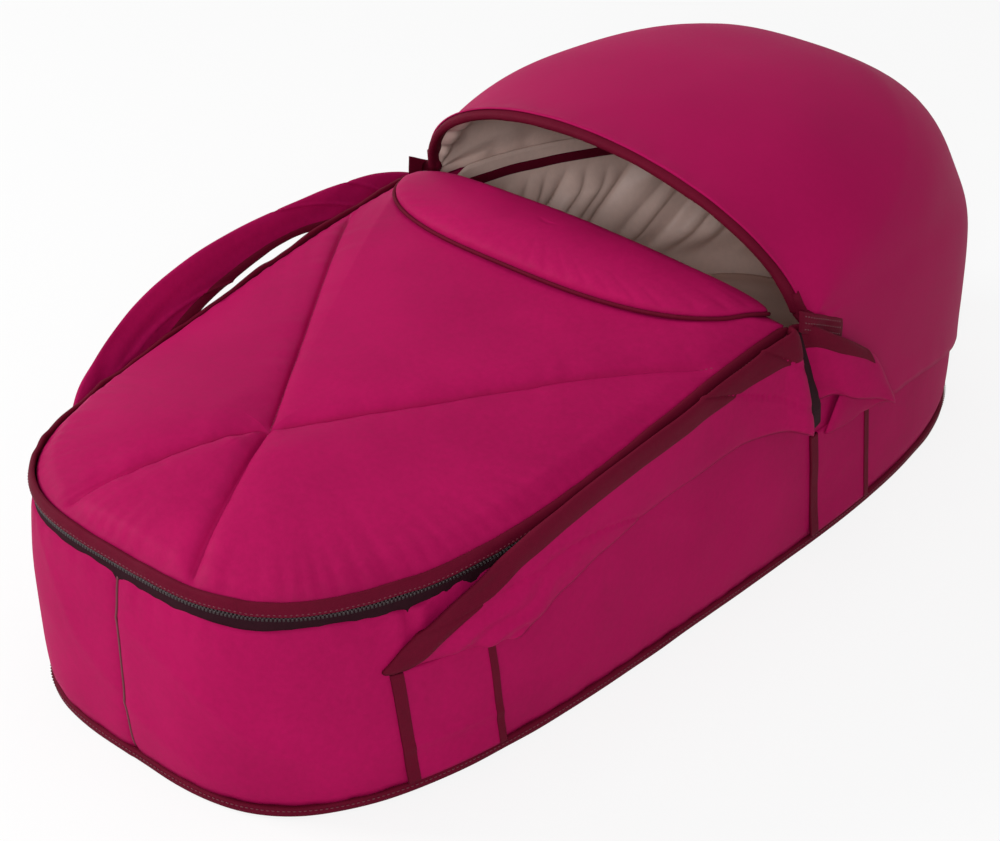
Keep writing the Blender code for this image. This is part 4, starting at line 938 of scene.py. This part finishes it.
def make_tub_lining():
    runs = np.linspace(0, TOTAL, LINING_RUNS, endpoint=False)
    y = y_at(runs)
    ruffle = RUFFLE * smooth((y - 0.085) / 0.02)
    gather = gathers((runs - TOTAL / 2) / 0.0155, 91)
    ruffle = ruffle + RUFFLE_GATHER * smooth((y - 0.27) / 0.05) * gather
    top = (rim(y) + LINING_TOP)[:, None]
    drop = (top - LINING_FLOOR) * np.linspace(0, 1, 64)[None, :]
    z = top - drop + ruffle[:, None] * fade(drop, RUFFLE_REACH)
    out = LINING_OUT - lining_fold(runs[:, None], drop)
    floor_in = 0.045 * np.linspace(0, 1, 6)[None, 1:]
    ground = place(runs[:, None], out[:, -1:] - floor_in, LINING_FLOOR)
    face = np.concatenate([place(runs[:, None], out, z), ground], 1)
    back = np.concatenate([place(runs[:, None], LINING_BACK, z), ground - np.array([0, 0, 0.0009])], 1)
    ring = np.concatenate([face, back[:, ::-1]], 1)
    return grid("tub_lining_cloth", ring, satin, wrap_rows=True, wrap_cols=True)


dress(make_tub_lining(), "beige_lining", "tub", "tub_lining")


# Dark strip where hood lining and tub lining meet
def make_rim_tape():
    start = run_at(PIVOT_Y + EYE)
    runs = np.linspace(start, TOTAL - start, 320)
    wave = 0.0008 * noise(runs / 0.026, seed=95)
    across, high = section(12, 0.8)
    cling = -0.0116 - lining_fold(runs, np.full(320, 0.0085))
    out = cling[:, None] + 0.0011 * across - np.abs(wave[:, None])
    z = (rim(y_at(runs)) - 0.009 + wave)[:, None] + 0.0042 * high
    return bar("rim_tape", place(runs[:, None], out, z), trim)


dress(make_rim_tape(), "dark_red_trim", "tub", "rim_roll")


# Mattress
MATTRESS_TOP, MATTRESS_LOW, TUFT, TUFT_PITCH = 0.036, 0.0072, 0.0012, 0.06
MATTRESS_SIDES = ((1.004, 0.022), (1.0, 0.013), (0.985, 0.0075), (0.6, MATTRESS_LOW), (0.2, MATTRESS_LOW))


def make_mattress():
    edge = place(np.linspace(0, TOTAL, 300, endpoint=False), -0.0215, 0.0)[:, :2]
    tops = []
    for s in (1 - np.linspace(0, 1, 26)[:-1] ** 1.4)[::-1]:
        x, y = (edge * s).T
        tuft = TUFT * np.abs(np.sin(PI * x / TUFT_PITCH) * np.sin(PI * y / TUFT_PITCH))
        laid = gathers((0.8 * y - 0.6 * x) / 0.034 + 0.5 * noise(x / 0.06, seed=97), 99)
        laid = 0.005 * laid * smooth((y - 0.08) / 0.12) * smooth((0.96 - s) / 0.2)
        z = MATTRESS_TOP - 0.0075 * smooth((s - 0.88) / 0.12) ** 2 - 0.0015
        tops.append(np.column_stack([x, y, z + tuft * smooth((0.92 - s) / 0.1) + laid]))
    lows = [np.column_stack([edge * s, np.full(300, z)]) for s, z in MATTRESS_SIDES]
    return pad("mattress_pad", tops + lows, [0, 0, MATTRESS_TOP - 0.0015], [0, 0, MATTRESS_LOW], ticking)


mattress = make_mattress()
dress(mattress, "white_padding", "tub", "mattress")

# Bands sewn down the wall, with bound edges
BAND_FOOT, BAND_SLANT = 0.01, 0.012
BAND_EDGES = (
    ("near", -BAND_HALF - 0.001, -BAND_HALF + 0.0075),
    ("far", BAND_HALF - 0.0045, BAND_HALF + 0.001),
)


def band_strip(name, y_mid, side, low_across, high_across, lift, thick, material):
    z = np.linspace(BAND_FOOT - 0.0005, BAND_TOP + 0.001, 40)[:, None]
    slant = BAND_SLANT * (z - BAND_FOOT) / (BAND_TOP - BAND_FOOT)
    runs = run_at(y_mid + BAND_SLANT) - slant + np.linspace(low_across, high_across, 26)[None, :]
    height = np.broadcast_to(z, runs.shape)
    ripple = 0.0004 * noise(runs / 0.03, height / 0.02, 101)
    runs = runs if side > 0 else TOTAL - runs
    base = np.maximum(wall_out(runs, height), 0.0008) + lift + ripple
    outer, inner = place(runs, base + thick, height), place(runs, base - 0.0006, height)
    ring = np.concatenate([outer, inner[:, ::-1]], 1)
    return bar(name, ring, material)


for end_name, y_mid in (("foot", -0.2808), ("head", 0.1192)):
    for side_name, side in SIDES:
        where = f"{end_name}_{side_name}"
        low, high = -BAND_HALF + 0.001, BAND_HALF - 0.001
        face = band_strip("band_face_" + where, y_mid, side, low, high, 0.0, 0.0012, crimson)
        dress(face, "crimson_fabric", "tub", "band_" + where)
        for edge_name, low, high in BAND_EDGES:
            name = f"band_{edge_name}_tape_{where}"
            dress(band_strip(name, y_mid, side, low, high, 0.0006, 0.0014, trim), "dark_red_trim", "tub")


# Carrying straps, given in millimetres: y, height and standoff of the upper edge, then the lower
STRAP_HALF, BOUND_HALF, STRAP_RIPPLE, STRAP_PLEAT = 0.0024, 0.0031, 0.0008, 0.00256
RIGHT_FRAMES = [
    (-320, 104, 4, -240, 100, 5),
    (-302, 122, 8, -236, 99, 14),
    (-275, 142, 10, -222, 105, 17),
    (-235, 162, 10, -192, 117, 14),
    (-185, 177, 10, -150, 127, 11),
    (-130, 186, 9, -108, 133, 9),
    (-70, 192, 8, -56, 137, 8),
    (-12, 198, 7, -6, 138, 9),
    (22, 204, 10, 34, 132, 15),
    (40, 206, 11, 58, 120, 21),
    (45, 204, 4, 66, 116, 10),
    (50, 202, 1, 70, 117, 1),
    (60, 199, 1, 82, 126, 1),
    (66, 198, 7, 90, 133, 9),
    (85, 186, 15, 108, 127, 20),
    (112, 168, 18, 136, 116, 25),
    (130, 154, 18, 158, 102, 24),
    (135, 150, 12, 162, 99, 16),
    (126, 145, 8, 157, 97, 10),
    (110, 124, 6, 150, 94, 7),
    (98, 96, 4, 144, 94, 4),
]
LEFT_FRAMES = [
    (-315, 103, 4, -246, 104, 4),
    (-298, 128, 14, -236, 113, 9),
    (-276, 153, 18, -213, 128, 14),
    (-242, 173, 21, -184, 145, 17),
    (-200, 190, 24, -150, 161, 19),
    (-150, 201, 25, -111, 172, 21),
    (-92, 205, 26, -69, 179, 22),
    (-39, 205, 26, -40, 179, 22),
    (3, 203, 26, -8, 173, 21),
    (42, 198, 25, 24, 162, 19),
    (79, 185, 24, 48, 150, 18),
    (108, 165, 20, 70, 138, 16),
    (124, 137, 14, 79, 121, 11),
    (127, 100, 4, 78, 101, 4),
]


def spline(values, count):
    """Smooth curve through rows of values, evenly spread by the distance between them."""
    values = np.asarray(values, float) / 1000
    steps = np.linalg.norm(np.diff(values[:, [0, 1]] + values[:, [3, 4]], axis=0), axis=1) / 2
    steps += 0.6 * np.abs(np.diff(values[:, 2])) + 0.003
    at = np.concatenate([[0], np.cumsum(steps)])
    goal = np.linspace(0, at[-1], count)
    slope = np.gradient(values, at, axis=0)
    i = np.clip(np.searchsorted(at, goal, side="right") - 1, 0, len(at) - 2)
    h = (at[i + 1] - at[i])[:, None]
    t = ((goal - at[i]) / (at[i + 1] - at[i]))[:, None]
    a = (2 * t**3 - 3 * t**2 + 1) * values[i] + (t**3 - 2 * t**2 + t) * h * slope[i]
    b = (3 * t**2 - 2 * t**3) * values[i + 1] + (t**3 - t**2) * h * slope[i + 1]
    return a + b


def strap_edges(frames, side, count):
    rows = spline(frames, count)
    upper = place(run_at(rows[:, 0]), rows[:, 2], rows[:, 1])
    lower = place(run_at(rows[:, 3]), rows[:, 5], rows[:, 4])
    for edge in (upper, lower):
        edge[:, 0] *= side
    return upper, lower


def ribbon(name, upper, lower, low_width, high_width, thick, material, side):
    """Padded ribbon between two edges; widths run from -1 at the lower edge to 1 at the upper one."""
    middle, across = (upper + lower) / 2, upper - lower
    normal = unit(np.cross(np.gradient(middle, axis=0), across))
    if normal[0, 0] * side < 0:
        normal = -normal
    width = np.linspace(low_width, high_width, 27)[None, :]
    edge = (width - low_width) / (high_width - low_width) * 2 - 1
    crown = (1 - np.abs(edge) ** 3.0) ** 0.5
    run = travelled(middle)[:, None]
    # Ripples, creases across and pleats gathered at the ends
    bent = noise(run / 0.06 + 0.9 * width, width * 0.8, 112)
    pleats = np.cos(2 * PI * (1.6 * width + 0.4 * noise(run / 0.03, seed=113)))
    ends_near = fade(run, 0.05) * smooth(run / 0.012)
    bumps = STRAP_RIPPLE * (noise(run / 0.022, width * 1.3, 111) - 2.6 * fade(np.abs(bent), 0.06))
    bumps = bumps + STRAP_PLEAT * ends_near * pleats
    faces = []
    for swelling in (thick * crown + bumps, bumps - thick * crown):
        flat = middle[:, None] + across[:, None] / 2 * width[..., None]
        faces.append(flat + normal[:, None] * swelling[..., None])
    ring = np.concatenate([faces[0], faces[1][:, ::-1][:, 1:-1]], 1)
    return bar(name, ring, material)


def make_strap(side_name, frames, side, bound_low, bound_high, bound_share):
    """Padded strap, bound between two widths over a share of its length."""
    body = "strap_" + side_name
    upper, lower = strap_edges(frames, side, 320)
    strap = ribbon("strap_padding_" + side_name, upper, lower, -1.0, 1.0, STRAP_HALF, crimson, side)
    dress(strap, "crimson_fabric", body, body)
    upper, lower = (edge[: int(bound_share * len(edge))] for edge in (upper, lower))
    name = "strap_binding_" + side_name
    bound = ribbon(name, upper, lower, bound_low, bound_high, BOUND_HALF, trim, side)
    dress(bound, "dark_red_trim", body)


make_strap("right", RIGHT_FRAMES, 1, 0.42, 1.05, 0.86)
make_strap("left", LEFT_FRAMES, -1, -1.05, -0.55, 0.97)


# Near-black sheet in the near strap's deep fold, a painted shadow standing for the fold's shade, in
# millimetres: y, height, standoff and half width
SLOT_PATH = (
    (53, 198, 4, 3.0),
    (58, 184, 4, 4.2),
    (65, 165, 4, 5.8),
    (73, 145, 4, 7.8),
    (80, 124, 4, 9.0),
    (84, 108, 3, 8.0),
)
slot_y, slot_z, slot_out, slot_half = np.array(SLOT_PATH).T / 1000
slot_path = place(run_at(slot_y), slot_out, slot_z)
# Painted shadow: this dark sheet stands where the fold holds only shade
fold_shadow_sheet = tube("strap_fold_painted_shadow_right", slot_path, (slot_half, 0.0014), zip_and_fold_shadow_cloth, (1, 0, 0), 16, 0.7)
dress(fold_shadow_sheet, "zip_dark", "strap_right")


# Cloth pockets over the bow's ends, sewn with three rows
POCKET_START, POCKET_END, POCKET_SLOPE, POCKET_HALF = -0.0185, 0.036, 0.5, 0.0082
POCKET_OUT, POCKET_PUFF, POCKET_DEEP, POCKET_ROWS = 0.0046, 0.0026, 0.003, (4, 9, 14)


def make_pocket(side_name, side):
    y = PIVOT_Y + np.linspace(POCKET_START, POCKET_END, 34)[None, :]
    across, up = np.linspace(-1, 1, 34)[None, :], np.linspace(-1, 1, 18)[:, None]
    middle = PIVOT_Z - 0.002 - POCKET_SLOPE * (y - PIVOT_Y)
    height = middle + POCKET_HALF * up + 0.0006 * noise(y / 0.01, up, 123)
    crown = (1 - np.abs(across) ** 6) ** 0.5 * (1 - np.abs(up) ** 4) ** 0.5
    y = np.broadcast_to(y, height.shape)
    face = side_x(y) + POCKET_OUT + POCKET_PUFF * crown + 0.0006 * noise(height / 0.01, y / 0.012, 121)
    outer = np.stack([side * face, y, height], -1)
    inner = np.stack([side * (face - POCKET_DEEP * crown - 0.0004), y, height], -1)
    ring = np.concatenate([outer, inner[:, ::-1]], 1)
    made = bar("bow_pocket_cloth_" + side_name, ring, trim)
    dress(made, "dark_red_trim", "tub", "bow_pocket_" + side_name)
    for i, r in enumerate(POCKET_ROWS):
        name = f"pocket_stitching_{side_name}_{i}"
        row = stitches(name, outer[r, 2:-2], np.tile([side, 0.0, 0.0], (30, 1)), thread)
        dress(row, "dark_red_trim", "tub")


for side_name, side in SIDES:
    make_pocket(side_name, side)


# Sleeves over the bow's bent ends: half width, reach from the pivots and radius
SLEEVE_PATH = (
    (BOW_HALF, 0.022, 0.003),
    (BOW_HALF, 0.015, 0.0042),
    (BOW_HALF, 0.01, 0.0052),
    (0.1728, 0.0055, 0.0056),
    (0.1752, 0.002, 0.0056),
    (0.183, 0.0, 0.005),
)

for side_name, side in SIDES:
    x, reach, fat = np.array(SLEEVE_PATH).T
    path, name = bow_plane(side * x, reach), "bow_end_sleeve_" + side_name
    dress(tube(name, path, (fat, fat), trim, -BOW_NORMAL, 18), "dark_red_trim", "hood_front")

# Finishes of the solids that stay
for node_name, finish in (
    ("base_panel", base_cloth),
    ("base_board", board),
    ("hood_bow", steel),
    ("zip_slider", steel),
    ("zip_pull", steel),
):
    mesh = nodes[node_name].data
    mesh.materials.clear()
    mesh.materials.append(finish)


# Floor, light and camera
FLOOR_GREY, FLOOR_GLOW_SHARE, WORLD_LIGHT = 0.86, 0.84, 0.4


def seen_directly(tree, rays):
    """One for the rays that should meet the pale backdrop itself rather than its light."""
    path = tree.nodes.new("ShaderNodeLightPath")
    seen = path.outputs[rays[0]]
    for ray in rays[1:]:
        either = add(tree, "ShaderNodeMath", set_operation="MAXIMUM")
        tree.links.new(seen, either.inputs[0])
        tree.links.new(path.outputs[ray], either.inputs[1])
        seen = either.outputs[0]
    return seen


def make_floor():
    bpy.ops.mesh.primitive_plane_add(size=14, location=(0, 0, -0.0006))
    floor = bpy.context.object
    floor.name = "floor"
    made, tree, shader = new_material("floor_white")
    shader.inputs["Base Color"].default_value = (FLOOR_GREY, FLOOR_GREY, FLOOR_GREY, 1.0)
    shader.inputs["Roughness"].default_value = 0.9
    shader.inputs["Specular IOR Level"].default_value = 0.0
    glow = add(tree, "ShaderNodeEmission", Strength=1.0)
    share = add(tree, "ShaderNodeMath", set_operation="MULTIPLY")
    share.inputs[1].default_value = FLOOR_GLOW_SHARE
    rays = ("Is Camera Ray", "Is Glossy Ray", "Is Transmission Ray")
    tree.links.new(seen_directly(tree, rays), share.inputs[0])
    join = tree.nodes.new("ShaderNodeMixShader")
    tree.links.new(share.outputs[0], join.inputs["Fac"])
    tree.links.new(shader.outputs["BSDF"], join.inputs[1])
    tree.links.new(glow.outputs["Emission"], join.inputs[2])
    tree.links.new(join.outputs["Shader"], tree.nodes["Material Output"].inputs["Surface"])
    floor.data.materials.append(made)


def make_world():
    world = bpy.data.worlds.new("studio")
    bpy.context.scene.world = world
    world.use_nodes = True
    tree = world.node_tree
    back = tree.nodes["Background"]
    back.inputs["Color"].default_value = (1, 1, 1, 1)
    seen = seen_directly(tree, ("Is Camera Ray", "Is Glossy Ray"))
    tree.links.new(spread(tree, seen, WORLD_LIGHT, 1.0), back.inputs["Strength"])


def lamp(name, at, aim, size, energy):
    data = bpy.data.lights.new(name, "AREA")
    data.shape = "SQUARE"
    data.size = size
    data.energy = energy
    made = bpy.data.objects.new(name, data)
    bpy.context.scene.collection.objects.link(made)
    made.location = at
    made.rotation_mode = "QUATERNION"
    made.rotation_quaternion = (Vector(aim) - Vector(at)).to_track_quat("-Z", "Y")


make_floor()
make_world()
lamp("key", (-2.0, -1.4, 1.35), (0, -0.05, 0.12), 0.9, 48.0)
lamp("front", (1.34, -1.64, 1.27), (0, 0.2, 0.15), 0.4, 24.0)
lamp("top", (-0.1, 0.3, 2.4), (0, 0.0, 0.15), 1.2, 7.0)

AZIMUTH, ELEVATION, DISTANCE = math.radians(42.19), math.radians(31.25), 1.633
TARGET, LENS = Vector((0.06, -0.112, 0.1517)), 86.72
level = math.cos(ELEVATION)
back = Vector((math.sin(AZIMUTH) * level, -math.cos(AZIMUTH) * level, math.sin(ELEVATION)))
camera = bpy.data.objects.new("camera", bpy.data.cameras.new("camera"))
bpy.context.scene.collection.objects.link(camera)
camera.data.sensor_width = 36.0
camera.data.lens = LENS
camera.location = TARGET + back * DISTANCE
camera.rotation_mode = "QUATERNION"
camera.rotation_quaternion = (-back).to_track_quat("-Z", "Y")
bpy.context.scene.camera = camera
bpy.context.scene.view_settings.view_transform = "Standard"
